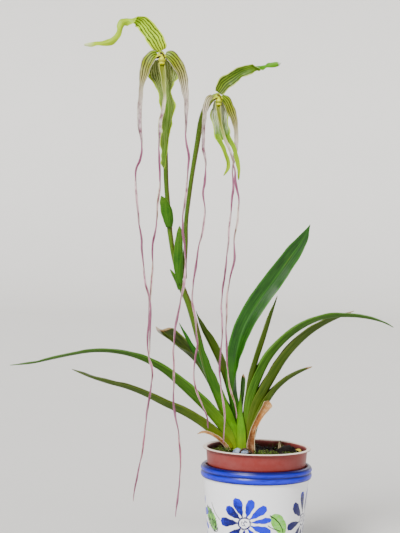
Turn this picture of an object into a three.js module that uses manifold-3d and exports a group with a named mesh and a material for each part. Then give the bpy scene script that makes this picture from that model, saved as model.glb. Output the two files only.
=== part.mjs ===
// A potted slipper orchid with ribbon petals, Phragmipedium lindenii: two flowers on one flower stem, three
// leafy growths in a plastic nursery pot, and the painted ceramic cachepot that the nursery pot stands in.
// Millimetres, +Z up. The origin is the centre of the cachepot's flat base; the flowers face -Y.

import * as THREE from "three";
import { mergeVertices } from "three/addons/utils/BufferGeometryUtils.js";
import Module from "manifold-3d";

// Driving dimensions of the two pots
const CACHEPOT_HEIGHT = 88;
const CACHEPOT_BASE_RADIUS = 41.3;
const CACHEPOT_WALL_TOP_RADIUS = 48.8;
const CACHEPOT_BAND_RADIUS = 51.4;
const CACHEPOT_BAND_HEIGHT = 12;
const CACHEPOT_MOUTH_RADIUS = 46.8;
const CACHEPOT_WALL = 5;
const CACHEPOT_FLOOR = 6;
const NURSERY_POT_HEIGHT = 97.7;
const NURSERY_LIP_RADIUS = 50;
const NURSERY_COLLAR_RADIUS = 46.7;
const NURSERY_COLLAR_HEIGHT = 17;
const NURSERY_BODY_TOP_RADIUS = 42.6;
const NURSERY_BASE_RADIUS = 33.5;
const NURSERY_WALL = 1.2;
const NURSERY_FLOOR = 1.6;
const DRAIN_HOLE_RADIUS = 3.5;
const DRAIN_HOLE_COUNT = 6;
const DRAIN_HOLE_CIRCLE = 22;
const POT_SEGMENTS = 36;

// Clearance between pieces that touch on the real plant
const SEAT = 0.3;

// Driving dimensions of the plant
const LEAF_THICKNESS = 0.6;
const SHEATH_PITCH = 1.9;
const SHEATH_CORE = 2;
const KEEL_SHARE = 0.14;
const SEPAL_THICKNESS = 0.7;
const RIBBON_THICKNESS = 0.6;
const RIBBON_STEP = 9;
const LEAF_STEP = 12;

// Potting mix and crown
const MIX_WALL_LEVEL = 95.5;
const MIX_MOUND = 4.5;
const CROWN = { x: -14.5, y: 6, halfWidth: 16, halfDepth: 20 };
const ROOTSTOCK_BOTTOM = 84;
const ROOTSTOCK_TOP = 98.6;
const LEAF_FOOT = ROOTSTOCK_TOP + 2 * SEAT;
const CHIP_COUNT = 20;

const FLOOR_LEVEL = CACHEPOT_FLOOR + SEAT;
const LIP_LEVEL = FLOOR_LEVEL + NURSERY_POT_HEIGHT;

const wasm = await Module();
wasm.setup();

// Finishes
function finish(colour, roughness) {
  return new THREE.MeshStandardMaterial({ color: colour, roughness, metalness: 0 });
}
const glazedCeramic = finish("#ebe8eb", 0.15);
const brownPlastic = finish("#96504a", 0.45);
const darkMix = finish("#2b241d", 0.95);
const whitePebble = finish("#a9b0b8", 0.6);
const yellowPebble = finish("#c9b45a", 0.8);
const paleRoot = finish("#8a7a55", 0.85);
const brightLeaf = finish("#6fa024", 0.45);
const midLeaf = finish("#3f7a22", 0.45);
const coolLeaf = finish("#2f7a36", 0.42);
const oliveLeaf = finish("#66742a", 0.5);
const dryLeaf = finish("#be8f5c", 0.85);
const stemGreen = finish("#5d7a25", 0.5);
const bractGreen = finish("#4c8a1c", 0.55);
const sepalYellowGreen = finish("#b9d63f", 0.5);
const sepalGreyGreen = finish("#8fa35a", 0.5);
const ribbonPink = finish("#c79aae", 0.55);
const columnYellow = finish("#d9cf4a", 0.4);

// A small repeatable random source
function seeded(seed) {
  let state = seed;
  return () => {
    state = (state * 1664525 + 1013904223) % 4294967296;
    return state / 4294967296;
  };
}

// Booleans
function toSolid(geometry) {
  const bare = new THREE.BufferGeometry();
  bare.setAttribute("position", geometry.getAttribute("position"));
  if (geometry.index) bare.setIndex(geometry.index);
  const merged = mergeVertices(bare, 1e-4);
  return new wasm.Manifold(
    new wasm.Mesh({
      numProp: 3,
      vertProperties: new Float32Array(merged.attributes.position.array),
      triVerts: new Uint32Array(merged.index.array),
    }),
  );
}

function toGeometry(solid) {
  const mesh = solid.getMesh();
  return new THREE.BufferGeometry()
    .setAttribute("position", new THREE.BufferAttribute(mesh.vertProperties, 3))
    .setIndex(new THREE.BufferAttribute(mesh.triVerts, 1));
}

function join(geometries) {
  return toGeometry(geometries.map(toSolid).reduce((whole, piece) => whole.add(piece)));
}

function cut(geometry, tools) {
  return toGeometry(tools.map(toSolid).reduce((whole, tool) => whole.subtract(tool), toSolid(geometry)));
}

// A surface of revolution about +Z from a list of [radius, height]
function turned(profile, segments = POT_SEGMENTS) {
  const points = profile.map(([radius, height]) => new THREE.Vector2(radius, height));
  return new THREE.LatheGeometry(points, segments).rotateX(Math.PI / 2);
}

// A closed body from rings of equal count, with a fan on the first and the last ring about the given centres
function ringBody(rings, start, end) {
  const count = rings[0].length;
  const positions = [...rings.flat(), start, end].flatMap((point) => [point.x, point.y, point.z]);
  const faces = [];
  const first = rings.length * count;
  const lastRing = first - count;
  for (let j = 0; j < count; j++) {
    const next = (j + 1) % count;
    for (let i = 0; i < rings.length - 1; i++) {
      const a = i * count + j;
      const b = i * count + next;
      faces.push(a, b, a + count, b, b + count, a + count);
    }
    faces.push(first, next, j, first + 1, lastRing + j, lastRing + next);
  }
  return facingOut(positions, faces);
}

// The closed body of these triangles, turned over where they enclose a negative volume
function facingOut(positions, faces) {
  const geometry = new THREE.BufferGeometry()
    .setAttribute("position", new THREE.Float32BufferAttribute(positions, 3))
    .setIndex(faces);
  let volume = 0;
  const [a, b, c] = [new THREE.Vector3(), new THREE.Vector3(), new THREE.Vector3()];
  const place = geometry.getAttribute("position");
  for (let i = 0; i < faces.length; i += 3) {
    a.fromBufferAttribute(place, faces[i]);
    b.fromBufferAttribute(place, faces[i + 1]);
    c.fromBufferAttribute(place, faces[i + 2]);
    volume += a.dot(b.cross(c));
  }
  if (volume < 0)
    for (let i = 0; i < faces.length; i += 3) [faces[i], faces[i + 1]] = [faces[i + 1], faces[i]];
  return geometry.setIndex(faces);
}

// A smooth route through stations [x, y, z, ...values]; the values are eased from station to station
class Route {
  constructor(stations) {
    this.curve = new THREE.CatmullRomCurve3(stations.map(([x, y, z]) => new THREE.Vector3(x, y, z)));
    this.values = stations.map((station) => station.slice(3));
    this.length = this.curve.getLength();
  }
  at(share) {
    const t = this.curve.getUtoTmapping(share);
    const place = t * (this.values.length - 1);
    const index = Math.min(Math.floor(place), this.values.length - 2);
    const ease = THREE.MathUtils.smoothstep(place - index, 0, 1);
    const [from, to] = [this.values[index], this.values[index + 1]];
    return {
      point: this.curve.getPoint(t),
      along: this.curve.getTangent(t),
      values: from.map((value, k) => THREE.MathUtils.lerp(value, to[k], ease)),
    };
  }
}

// The two directions across a route: at turn 0 the blade's face looks towards -Y, at -90 a leaf that leans
// left opens upwards, and at 90 a leaf that leans right does
function crossDirections(along, turn) {
  const flat = new THREE.Vector3(0, 1, 0).cross(along).normalize();
  const front = flat.clone().cross(along).normalize();
  const angle = THREE.MathUtils.degToRad(turn);
  const side = flat.clone().multiplyScalar(Math.cos(angle)).addScaledVector(front, Math.sin(angle));
  const face = front.clone().multiplyScalar(Math.cos(angle)).addScaledVector(flat, -Math.sin(angle));
  return { side, face };
}

// One row of a blade's middle surface. A row is a shallow trough: from the midrib a first stretch rises at half
// the fold, then the rest at the fold. Where sheath is 1 the row is a narrow U that clasps what is inside it.
function bladeRow({ point, along, values }, share, { gap, keelShare, columns, ruffle }) {
  const [width, turn, fold = 0, sheath = 0] = values;
  const { side, face } = crossDirections(along, turn);
  const half = width / 2;
  const corner = Math.min(THREE.MathUtils.lerp(half * keelShare, gap / 2, sheath), half * 0.7);
  const inner = THREE.MathUtils.degToRad(THREE.MathUtils.lerp(fold / 2, 0, sheath));
  const outer = THREE.MathUtils.degToRad(THREE.MathUtils.lerp(fold, 90, sheath));
  return columns.map((column) => {
    const sign = Math.sign(column);
    const far = Math.abs(column) > 1;
    const near = column === 0 ? 0 : corner;
    const reach = far ? (Math.abs(column) - 1) * (half - corner) : 0;
    const across = sign * (near * Math.cos(inner) + reach * Math.cos(outer));
    const rise = near * Math.sin(inner) + reach * Math.sin(outer);
    const wave = far && ruffle ? ruffle(share, sign) * (Math.abs(column) - 1) : 0;
    return point.clone().addScaledVector(side, across).addScaledVector(face, rise + wave);
  });
}

// A blade of even thickness along a route, split into triangles alike on both faces
function blade(stations, options = {}) {
  const { thickness = SEPAL_THICKNESS, step = LEAF_STEP, gap = 0, keelShare = KEEL_SHARE } = options;
  const { columns = [-2, -1, 0, 1, 2], ruffle } = options;
  const route = new Route(stations);
  const steps = Math.max(4, Math.round(route.length / step));
  const shape = { gap, keelShare, columns, ruffle };
  const middle = [];
  for (let i = 0; i <= steps; i++) middle.push(bladeRow(route.at(i / steps), i / steps, shape));
  const count = middle[0].length;
  const rows = middle.map((row, i) => {
    const before = middle[Math.max(i - 1, 0)];
    const after = middle[Math.min(i + 1, steps)];
    const normals = row.map((point, j) => {
      const across = row[Math.min(j + 1, count - 1)].clone().sub(row[Math.max(j - 1, 0)]);
      return across.cross(after[j].clone().sub(before[j])).normalize();
    });
    const top = row.map((point, j) => point.clone().addScaledVector(normals[j], thickness / 2));
    const under = row.map((point, j) => point.clone().addScaledVector(normals[j], -thickness / 2));
    return { top, under };
  });
  const positions = rows.flatMap(({ top, under }) => [...top, ...under].flatMap((p) => [p.x, p.y, p.z]));
  const faces = [];
  const at = (i, j, below) => i * 2 * count + j + (below ? count : 0);
  const quad = (a, b, c, d) => faces.push(a, b, c, a, c, d);
  for (let i = 0; i < steps; i++) {
    for (let j = 0; j < count - 1; j++) {
      quad(at(i, j), at(i + 1, j), at(i + 1, j + 1), at(i, j + 1));
      faces.push(at(i, j, true), at(i + 1, j + 1, true), at(i + 1, j, true));
      faces.push(at(i, j, true), at(i, j + 1, true), at(i + 1, j + 1, true));
    }
    quad(at(i, 0, true), at(i + 1, 0, true), at(i + 1, 0), at(i, 0));
    quad(at(i, count - 1), at(i + 1, count - 1), at(i + 1, count - 1, true), at(i, count - 1, true));
  }
  for (let j = 0; j < count - 1; j++) {
    quad(at(0, j), at(0, j + 1), at(0, j + 1, true), at(0, j, true));
    quad(at(steps, j), at(steps, j, true), at(steps, j + 1, true), at(steps, j + 1));
  }
  return facingOut(positions, faces);
}

// A round stalk along stations [x, y, z, radius]
function stalk(stations, { step = 11, sides = 8 } = {}) {
  const route = new Route(stations);
  const steps = Math.max(3, Math.round(route.length / step));
  const frames = route.curve.computeFrenetFrames(steps);
  const rows = [];
  for (let i = 0; i <= steps; i++) {
    const { point, values } = route.at(i / steps);
    const row = [];
    for (let j = 0; j < sides; j++) {
      const angle = (2 * Math.PI * j) / sides;
      row.push(
        point
          .clone()
          .addScaledVector(frames.normals[i], values[0] * Math.cos(angle))
          .addScaledVector(frames.binormals[i], values[0] * Math.sin(angle)),
      );
    }
    rows.push(row);
  }
  return ringBody(rows, route.at(0).point, route.at(1).point);
}

// A rounded lump with an uneven surface
function lump([x, y, z], [width, depth, height], seed, unevenness = 0.12, grow = 0) {
  const random = seeded(seed);
  const round = new THREE.IcosahedronGeometry(1, 1);
  round.deleteAttribute("normal");
  round.deleteAttribute("uv");
  const geometry = mergeVertices(round, 1e-3);
  const place = geometry.getAttribute("position");
  for (let i = 0; i < place.count; i++) {
    const swell = 1 + unevenness * (random() - 0.5);
    place.setXYZ(
      i,
      place.getX(i) * (swell * width / 2 + grow),
      place.getY(i) * (swell * depth / 2 + grow),
      place.getZ(i) * (swell * height / 2 + grow),
    );
  }
  return geometry.rotateZ(random() * Math.PI).translate(x, y, z);
}

// Pots

// The cachepot: a tapered wall on a flat base, with a band of two soft rolls under the rim
function cachepot() {
  const bandBottom = CACHEPOT_HEIGHT - CACHEPOT_BAND_HEIGHT;
  const groove = CACHEPOT_BAND_RADIUS - 1;
  const innerBase = CACHEPOT_BASE_RADIUS - CACHEPOT_WALL;
  const roll = (from, to, count) =>
    Array.from({ length: count + 1 }, (_, i) => {
      const share = i / count;
      return [groove + Math.sin(Math.PI * share), from + (to - from) * share];
    });
  const lowerRoll = roll(bandBottom + 0.6, bandBottom + 6.4, 3);
  const upperRoll = roll(bandBottom + 6.4, CACHEPOT_HEIGHT - 1.2, 3).slice(1);
  return turned([
    [0, 0],
    [CACHEPOT_BASE_RADIUS - 1, 0],
    [CACHEPOT_BASE_RADIUS, 1],
    [(CACHEPOT_BASE_RADIUS + CACHEPOT_WALL_TOP_RADIUS) / 2 + 0.3, bandBottom / 2],
    [CACHEPOT_WALL_TOP_RADIUS, bandBottom],
    ...lowerRoll,
    ...upperRoll,
    [CACHEPOT_BAND_RADIUS - 2.4, CACHEPOT_HEIGHT],
    [CACHEPOT_MOUTH_RADIUS + 0.8, CACHEPOT_HEIGHT],
    [CACHEPOT_MOUTH_RADIUS, CACHEPOT_HEIGHT - 1],
    [CACHEPOT_MOUTH_RADIUS - 1, CACHEPOT_HEIGHT - 14],
    [innerBase, CACHEPOT_FLOOR + 2],
    [innerBase - 2, CACHEPOT_FLOOR],
    [0, CACHEPOT_FLOOR],
  ]);
}

// Heights and radii of the nursery pot's inside, which the potting mix follows
const NURSERY_STEP_LEVEL = LIP_LEVEL - NURSERY_COLLAR_HEIGHT;
const COLLAR_TAPER = 1.2;

// The nursery pot: tapered body, taller collar, rolled lip, and drain holes in the floor
function nurseryPot() {
  const body = turned([
    [0, FLOOR_LEVEL],
    [NURSERY_BASE_RADIUS - 1, FLOOR_LEVEL],
    [NURSERY_BASE_RADIUS, FLOOR_LEVEL + 1],
    [NURSERY_BODY_TOP_RADIUS, NURSERY_STEP_LEVEL - 1],
    [NURSERY_COLLAR_RADIUS - COLLAR_TAPER, NURSERY_STEP_LEVEL + 1],
    [NURSERY_COLLAR_RADIUS, LIP_LEVEL - 1.8],
    [NURSERY_LIP_RADIUS - 0.6, LIP_LEVEL - 1.6],
    [NURSERY_LIP_RADIUS, LIP_LEVEL - 0.8],
    [NURSERY_LIP_RADIUS - 0.7, LIP_LEVEL],
    [NURSERY_COLLAR_RADIUS + 0.4, LIP_LEVEL],
    [NURSERY_COLLAR_RADIUS - NURSERY_WALL, LIP_LEVEL - 1.4],
    [NURSERY_COLLAR_RADIUS - COLLAR_TAPER - NURSERY_WALL, NURSERY_STEP_LEVEL + 2],
    [NURSERY_BODY_TOP_RADIUS - NURSERY_WALL, NURSERY_STEP_LEVEL],
    [NURSERY_BASE_RADIUS - NURSERY_WALL, FLOOR_LEVEL + NURSERY_FLOOR + 1],
    [NURSERY_BASE_RADIUS - NURSERY_WALL - 1, FLOOR_LEVEL + NURSERY_FLOOR],
    [0, FLOOR_LEVEL + NURSERY_FLOOR],
  ]);
  const drill = Array.from({ length: DRAIN_HOLE_COUNT }, (_, i) => {
    const angle = (2 * Math.PI * i) / DRAIN_HOLE_COUNT;
    return new THREE.CylinderGeometry(DRAIN_HOLE_RADIUS, DRAIN_HOLE_RADIUS, 6, 8)
      .rotateX(Math.PI / 2)
      .translate(DRAIN_HOLE_CIRCLE * Math.cos(angle), DRAIN_HOLE_CIRCLE * Math.sin(angle), FLOOR_LEVEL);
  });
  return cut(body, drill);
}

// Potting mix, stones and rootstock

// The surface of the mix, mounded round the crown
function mixLevel(x, y) {
  const distance = Math.hypot((x - CROWN.x) / 30, (y - CROWN.y) / 30);
  const lumps = 0.5 * Math.sin(0.55 * x + 1.3) * Math.cos(0.6 * y - 0.4) + 0.35 * Math.sin(0.9 * (x - y));
  return MIX_WALL_LEVEL + MIX_MOUND * Math.exp(-distance * distance) + lumps;
}

const STONES = [
  { at: [-18.2, -18, 101.4], size: [8.6, 7, 6], seed: 11 },
  { at: [-12, -18.4, 100.8], size: [8.6, 7, 5.4], seed: 12 },
];
const YELLOW_STONE = { at: [39, 4, 98.5], size: [7, 6, 5.5], seed: 13 };

function stone({ at, size, seed }, grow = 0) {
  return lump(at, size, seed, 0.16, grow);
}

// An oval block about the crown, from bottom to top with half-widths scaled by the given shares
function crownBlock(levels) {
  const sides = 24;
  const rows = levels.map(([height, share]) =>
    Array.from({ length: sides }, (_, j) => {
      const angle = (2 * Math.PI * j) / sides;
      return new THREE.Vector3(
        CROWN.x + CROWN.halfWidth * share * Math.cos(angle),
        CROWN.y + CROWN.halfDepth * share * Math.sin(angle),
        height,
      );
    }),
  );
  const middle = (height) => new THREE.Vector3(CROWN.x, CROWN.y, height);
  return ringBody(rows, middle(levels[0][0]), middle(levels[levels.length - 1][0]));
}

// The short woody rootstock that the growths sit on
function rootstock() {
  return crownBlock([
    [ROOTSTOCK_BOTTOM, 0.55],
    [ROOTSTOCK_BOTTOM + 4, 0.85],
    [ROOTSTOCK_TOP - 2, 0.97],
    [ROOTSTOCK_TOP, 0.94],
  ]);
}

// The mix fills the nursery pot. It has a plain oval hole for the crown, hollows for the stones, and bark chips.
function pottingMix() {
  const bodyRadius = NURSERY_BODY_TOP_RADIUS - NURSERY_WALL - SEAT;
  const collarRadius = NURSERY_COLLAR_RADIUS - COLLAR_TAPER - NURSERY_WALL - SEAT;
  const bottom = FLOOR_LEVEL + NURSERY_FLOOR + SEAT;
  const rings = [0.93, 0.76, 0.58, 0.4, 0.2].map((share) => [collarRadius * share, MIX_WALL_LEVEL]);
  const body = turned([
    [0, bottom],
    [NURSERY_BASE_RADIUS - NURSERY_WALL - 1.6, bottom],
    [NURSERY_BASE_RADIUS - NURSERY_WALL - 0.4, bottom + 2],
    [bodyRadius - 0.3, NURSERY_STEP_LEVEL - 2],
    [bodyRadius, NURSERY_STEP_LEVEL + 1],
    [collarRadius, NURSERY_STEP_LEVEL + 3],
    [collarRadius, MIX_WALL_LEVEL - 1],
    ...rings,
    [0, MIX_WALL_LEVEL],
  ]);
  const place = body.getAttribute("position");
  for (let i = 0; i < place.count; i++)
    if (place.getZ(i) > MIX_WALL_LEVEL - 0.5) place.setZ(i, mixLevel(place.getX(i), place.getY(i)));
  const hole = crownBlock([
    [ROOTSTOCK_BOTTOM - SEAT, 1.03],
    [ROOTSTOCK_TOP + 12, 1.03],
  ]);
  const hollows = [...STONES, YELLOW_STONE].map((each) => stone(each, 1.3 * SEAT));
  return cut(join([body, ...barkChips()]), [hole, ...hollows]);
}

// Bark chips lie flat on the mix, sunk half into it, clear of the crown and of the wall
function barkChips() {
  const random = seeded(7);
  const chips = [];
  while (chips.length < CHIP_COUNT) {
    const angle = 2 * Math.PI * random();
    const radius = 8 + 29 * Math.sqrt(random());
    const [x, y] = [radius * Math.cos(angle), radius * Math.sin(angle)];
    const size = [5 + 5 * random(), 3.5 + 3 * random(), 2.4 + 1.6 * random()];
    const [spin, tilt, lean] = [Math.PI * random(), 0.5 * (random() - 0.5), 0.5 * (random() - 0.5)];
    const fromCrown = Math.hypot((x - CROWN.x) / CROWN.halfWidth, (y - CROWN.y) / CROWN.halfDepth);
    if (fromCrown < 1.45) continue;
    const chip = new THREE.BoxGeometry(...size);
    chips.push(chip.rotateX(tilt).rotateY(lean).rotateZ(spin).translate(x, y, mixLevel(x, y) + 0.2));
  }
  return chips;
}

// Leaves

// Each leaf starts as a clasping sheath on the rootstock and opens into a keeled blade.
// Stations: x, y, z of the keel, flat width, turn, fold, sheath. nest counts the leaves clasped inside.
const LEAF_TURN_LEFT = -90;
const LEAF_TURN_RIGHT = 90;
const L = LEAF_TURN_LEFT;
const R = LEAF_TURN_RIGHT;

const LEAVES = [
  {
    name: "leaf_01_long_left",
    material: midLeaf,
    nest: 1,
    stations: [
      [-25, 3, LEAF_FOOT, 16, L, 80, 1],
      [-25.6, 3, 104, 17, L, 80, 1],
      [-30.4, 2.9, 112.6, 21, L, 80, 0.9],
      [-39, 1.7, 123.6, 24, L, 75, 0.1],
      [-50, -0.6, 136, 25, L, 70, 0],
      [-65, -1.8, 150.5, 24, L, 64, 0],
      [-76.5, -2.6, 161, 22, L, 58, 0],
      [-88, -3.4, 170.6, 20, L, 50, 0],
      [-104.5, -4.4, 180.2, 17, L, 44, 0],
      [-121.5, -5, 186, 15, L, 38, 0],
      [-141, -6, 188.6, 13, L, 34, 0],
      [-156, -6, 188, 12, L, 32, 0],
      [-172, -7, 185.2, 11, L, 30, 0],
      [-190.5, -8, 181, 10, L, 28, 0],
      [-208, -9, 177, 8, L, 26, 0],
      [-228.5, -10, 175, 3, L, 20, 0],
    ],
  },
  {
    name: "leaf_02_lower_left",
    material: oliveLeaf,
    nest: 2,
    stations: [
      [-26.8, 3, LEAF_FOOT, 16, L, 80, 1],
      [-28.2, 3, 102, 17, L, 80, 1],
      [-33, 2.9, 106.6, 18, L, 76, 0.9],
      [-41, 2.2, 112.8, 20, L, 68, 0.35],
      [-56, 0.4, 124, 20, L, 66, 0],
      [-69, -0.6, 131.6, 19, L, 62, 0],
      [-86.5, -2.4, 139.8, 17, L, 56, 0],
      [-104, -4, 148.6, 16, L, 48, 0],
      [-121, -6, 155.4, 14, L, 44, 0],
      [-138, -8, 160, 12, L, 40, 0],
      [-156, -10, 166, 9, L, 36, 0],
      [-171.5, -12, 173, 4, L, 30, 0],
    ],
  },
  {
    name: "leaf_03_torn_left",
    material: oliveLeaf,
    nest: 0,
    stations: [
      [-21.6, 21.2, LEAF_FOOT, 13, L, 80, 1],
      [-22.6, 21.2, 108, 14, L, 80, 1],
      [-26, 21.4, 121, 15, L, 80, 0.5],
      [-32.4, 22.4, 135.4, 17, L, 78, 0],
      [-41.2, 23, 150, 19, L, 76, 0],
      [-52, 23, 169, 19, L, 74, 0],
      [-60.4, 22.8, 180.5, 19, L, 70, 0],
      [-78, 22.4, 196, 18, L, 66, 0],
      [-96.5, 22, 212.5, 12, L, 62, 0],
    ],
  },
  {
    name: "leaf_04_dark_left",
    material: coolLeaf,
    nest: 1,
    stations: [
      [-21.2, 15.7, LEAF_FOOT, 16, L, 80, 1],
      [-22, 15.7, 110, 17, L, 80, 1],
      [-25.6, 15.7, 124, 18, L, 80, 0.8],
      [-34, 15.7, 139.6, 18, L, 78, 0.1],
      [-43, 15.6, 154, 18, L, 76, 0],
      [-49, 15.4, 167.4, 16, L, 74, 0],
      [-57, 15, 182, 13, L, 70, 0],
      [-66, 14.4, 197.6, 9, L, 62, 0],
      [-74.6, 14, 216, 3, L, 50, 0],
    ],
  },
  {
    name: "leaf_05_bright_left",
    material: brightLeaf,
    nest: 0,
    stations: [
      [-23.2, 3, LEAF_FOOT, 16, L, 80, 1],
      [-23.8, 3, 109, 17, L, 80, 1],
      [-26.8, 2.7, 120.6, 18, L, 80, 0.8],
      [-32.6, 0.5, 134.6, 20, L, 75, 0],
      [-40.4, -1.2, 149, 24, L, 68, 0],
      [-46.6, -2.2, 163, 22, L, 66, 0],
      [-50.8, -3, 178, 16, L, 66, 0],
      [-53.8, -3.8, 193, 9, L, 64, 0],
      [-55.8, -4.4, 208, 3, L, 60, 0],
    ],
  },
  {
    name: "leaf_06_olive_left",
    material: oliveLeaf,
    nest: 0,
    stations: [
      [-19.4, 15.7, LEAF_FOOT, 15, L, 80, 1],
      [-19.8, 15.7, 115, 15, L, 80, 1],
      [-22, 15.7, 131, 15, L, 82, 0.8],
      [-26.8, 15.7, 147, 16, L, 82, 0.1],
      [-32, 16, 164, 17, L, 80, 0],
      [-38.4, 17, 180.4, 18, L, 76, 0],
      [-46.8, 18.6, 197, 18, L, 70, 0],
      [-54.4, 20.4, 212, 12, L, 66, 0],
      [-59, 22, 227, 3, L, 60, 0],
    ],
  },
  {
    name: "leaf_07_tall_right",
    material: coolLeaf,
    nest: 0,
    stations: [
      [-6, 7.2, LEAF_FOOT, 19, R, 80, 1],
      [-6.2, 7.2, 106, 19, R, 80, 1],
      [-8.2, 7.6, 116, 19, R, 80, 0.9],
      [-13.4, 8.8, 130, 19, R, 76, 0.4],
      [-18.2, 9.6, 147, 19, 76, 66, 0],
      [-20.8, 9.2, 163, 19, 58, 50, 0],
      [-21, 9.6, 180, 19, 40, 38, 0],
      [-18.8, 10.2, 197, 19, 26, 30, 0],
      [-13.4, 10.6, 214.5, 19, 18, 24, 0],
      [-2.5, 10.6, 235.5, 19.5, 12, 20, 0],
      [12, 9.6, 257, 19, 8, 18, 0],
      [28.5, 7.6, 281.5, 16, 6, 16, 0],
      [38.6, 5.6, 297, 11, 4, 14, 0],
      [44.6, 4.2, 310, 3, 2, 8, 0],
    ],
  },
  {
    name: "leaf_08_narrow_right",
    material: oliveLeaf,
    nest: 0,
    stations: [
      [-8.9, -4.5, LEAF_FOOT, 13, R, 80, 1],
      [-8.6, -4.5, 115, 13, R, 80, 1],
      [-8.2, -4.5, 136, 12, R, 84, 1],
      [-6.8, -4.5, 155, 11, R, 82, 0.3],
      [-4.2, -4.3, 170, 12, R, 78, 0],
      [-0.4, -2.4, 185, 12, R, 74, 0],
      [4.6, 2, 200.5, 12, R, 68, 0],
      [10.2, 8.6, 220, 10, R, 62, 0],
      [16.6, 16, 243, 3, R, 50, 0],
    ],
  },
  {
    name: "leaf_09_arching_right",
    material: midLeaf,
    nest: 1,
    stations: [
      [-7.1, -4.5, LEAF_FOOT, 16, R, 80, 1],
      [-6.6, -4.5, 113, 16, R, 80, 1],
      [-5.4, -4.5, 131, 18, R, 80, 1],
      [-2, -4.6, 152, 20, R, 78, 0.5],
      [3.8, -5.2, 170, 20, R, 74, 0],
      [11, -6.4, 185.5, 19, R, 68, 0],
      [19.8, -8, 197.6, 18, R, 60, 0],
      [31.2, -9.6, 209, 17, R, 54, 0],
      [45, -11, 218.4, 16, R, 48, 0],
      [59, -12, 224.2, 15, R, 42, 0],
      [77, -13, 226.4, 13, R, 38, 0],
      [95.5, -14, 225.6, 12, R, 34, 0],
      [113, -14.5, 221.8, 8, R, 28, 0],
      [121.6, -14.6, 217.8, 3, R, 22, 0],
    ],
  },
  {
    name: "leaf_10_olive_right",
    material: oliveLeaf,
    nest: 2,
    stations: [
      [-5.3, -4.5, LEAF_FOOT, 17, R, 80, 1],
      [-4.6, -4.5, 111, 17, R, 80, 1],
      [-2.4, -4.5, 127, 19, R, 80, 1],
      [-0.2, -4.5, 134, 20, R, 80, 1],
      [3.4, -4.5, 144, 21, R, 76, 0.4],
      [10, -4.4, 157.4, 22, R, 72, 0],
      [17.6, -4, 171.6, 21, R, 68, 0],
      [25.6, -3, 185.2, 20, R, 66, 0],
      [36, -1.4, 198, 19, R, 62, 0],
      [48.4, 1, 209.6, 17, R, 56, 0],
      [61.6, 3, 218.4, 14, R, 50, 0],
      [75.4, 5, 225.4, 10, R, 42, 0],
      [87.6, 7, 231, 4, R, 30, 0],
    ],
  },
  {
    name: "leaf_11_short_right",
    material: oliveLeaf,
    nest: 3,
    stations: [
      [-3.4, -4.5, LEAF_FOOT, 18, R, 80, 1],
      [-2.6, -4.5, 109, 18, R, 80, 1],
      [-0.2, -4.5, 121, 18, R, 80, 1],
      [2.6, -4.5, 130, 17, R, 78, 1],
      [6.2, -4.6, 138.6, 17, R, 74, 1],
      [12, -5.2, 149.4, 16, R, 62, 0.3],
      [18.2, -6.4, 158.4, 13, R, 54, 0],
      [26.2, -8, 166.4, 12, R, 48, 0],
      [37.8, -9.8, 174.4, 10, R, 42, 0],
      [48.8, -11, 180, 7, R, 36, 0],
    ],
  },
  {
    name: "leaf_12_short_stub",
    material: brightLeaf,
    nest: 4,
    stations: [
      [-18.9, -4.5, LEAF_FOOT, 24, L, 80, 1],
      [-19, -4.5, 108, 24, L, 80, 1],
      [-18.9, -4.5, 120, 22, L, 80, 1],
      [-18.8, -4.5, 129, 18, L, 80, 1],
      [-18.4, -4, 138, 12, -82, 70, 0.4],
      [-17, -3, 148, 8, -60, 60, 0],
      [-15.4, -2, 159, 5.6, -30, 50, 0],
      [-13.8, -1.2, 171.5, 3.6, -10, 40, 0],
    ],
  },
];

function leaf({ nest, stations }) {
  const gap = SHEATH_PITCH * nest + SHEATH_CORE;
  return blade(stations, { thickness: LEAF_THICKNESS, gap });
}

// Papery sheaths of two old leaves, dried and curled
const DRY_SHEATHS = [
  {
    name: "dried_sheath_left",
    stations: [
      [-25.4, -5.8, 99.6, 7, -60, 50],
      [-32, -6.6, 107.6, 9, -50, 60],
      [-41, -7.8, 114.6, 8, -45, 55],
      [-48.6, -8.6, 117.6, 6, -35, 50],
      [-55, -9, 115.6, 3, -30, 40],
    ],
  },
  {
    name: "dried_sheath_right",
    stations: [
      [-5.4, -11.8, 98.9, 6.4, 0, 50],
      [-6, -12, 107, 9, 0, 55],
      [-5.4, -12.2, 114.6, 10, 0, 55],
      [-3.8, -12.2, 121, 10, 0, 55],
      [-1.4, -12.4, 127.6, 9, 0, 50],
      [2.2, -12.6, 135, 9, -10, 45],
      [6.2, -12.4, 141.6, 10, -20, 45],
      [9.2, -11.8, 147.4, 9, -30, 40],
    ],
  },
];

// Flower stem

const SCAPE = [
  [-19.5, 9.4, LEAF_FOOT + 0.4, 2.6],
  [-20, 9.4, 104, 2.7],
  [-23, 9.4, 114, 2.8],
  [-30, 9.2, 129, 2.8],
  [-38.6, 7.6, 150, 2.8],
  [-47.6, 5, 172, 2.9],
  [-55.4, 1.6, 200, 3],
  [-61.6, -2.6, 222, 3.1],
  [-67, -5.6, 238, 3],
  [-72, -8, 249, 2.9],
  [-76, -9, 262, 2.3],
  [-80.6, -10, 279, 2.2],
  [-84.4, -11.2, 300, 2.4],
];

const PEDICEL_A = [
  [-84.5, -11.24, 300.55, 2.3],
  [-85.4, -12.2, 314, 2.2],
  [-87.2, -13.6, 330, 2.2],
  [-88.6, -15, 345, 2.2],
  [-89.6, -16.4, 365, 2.3],
  [-90.8, -18, 395, 2.5],
  [-91.8, -18.8, 425, 2.9],
  [-92.8, -19.6, 442, 3],
  [-94.2, -23, 454, 2.9],
  [-95, -28.4, 458.2, 2.9],
  [-95, -33, 458.5, 3],
  [-95, -38, 458.5, 3],
];

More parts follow.
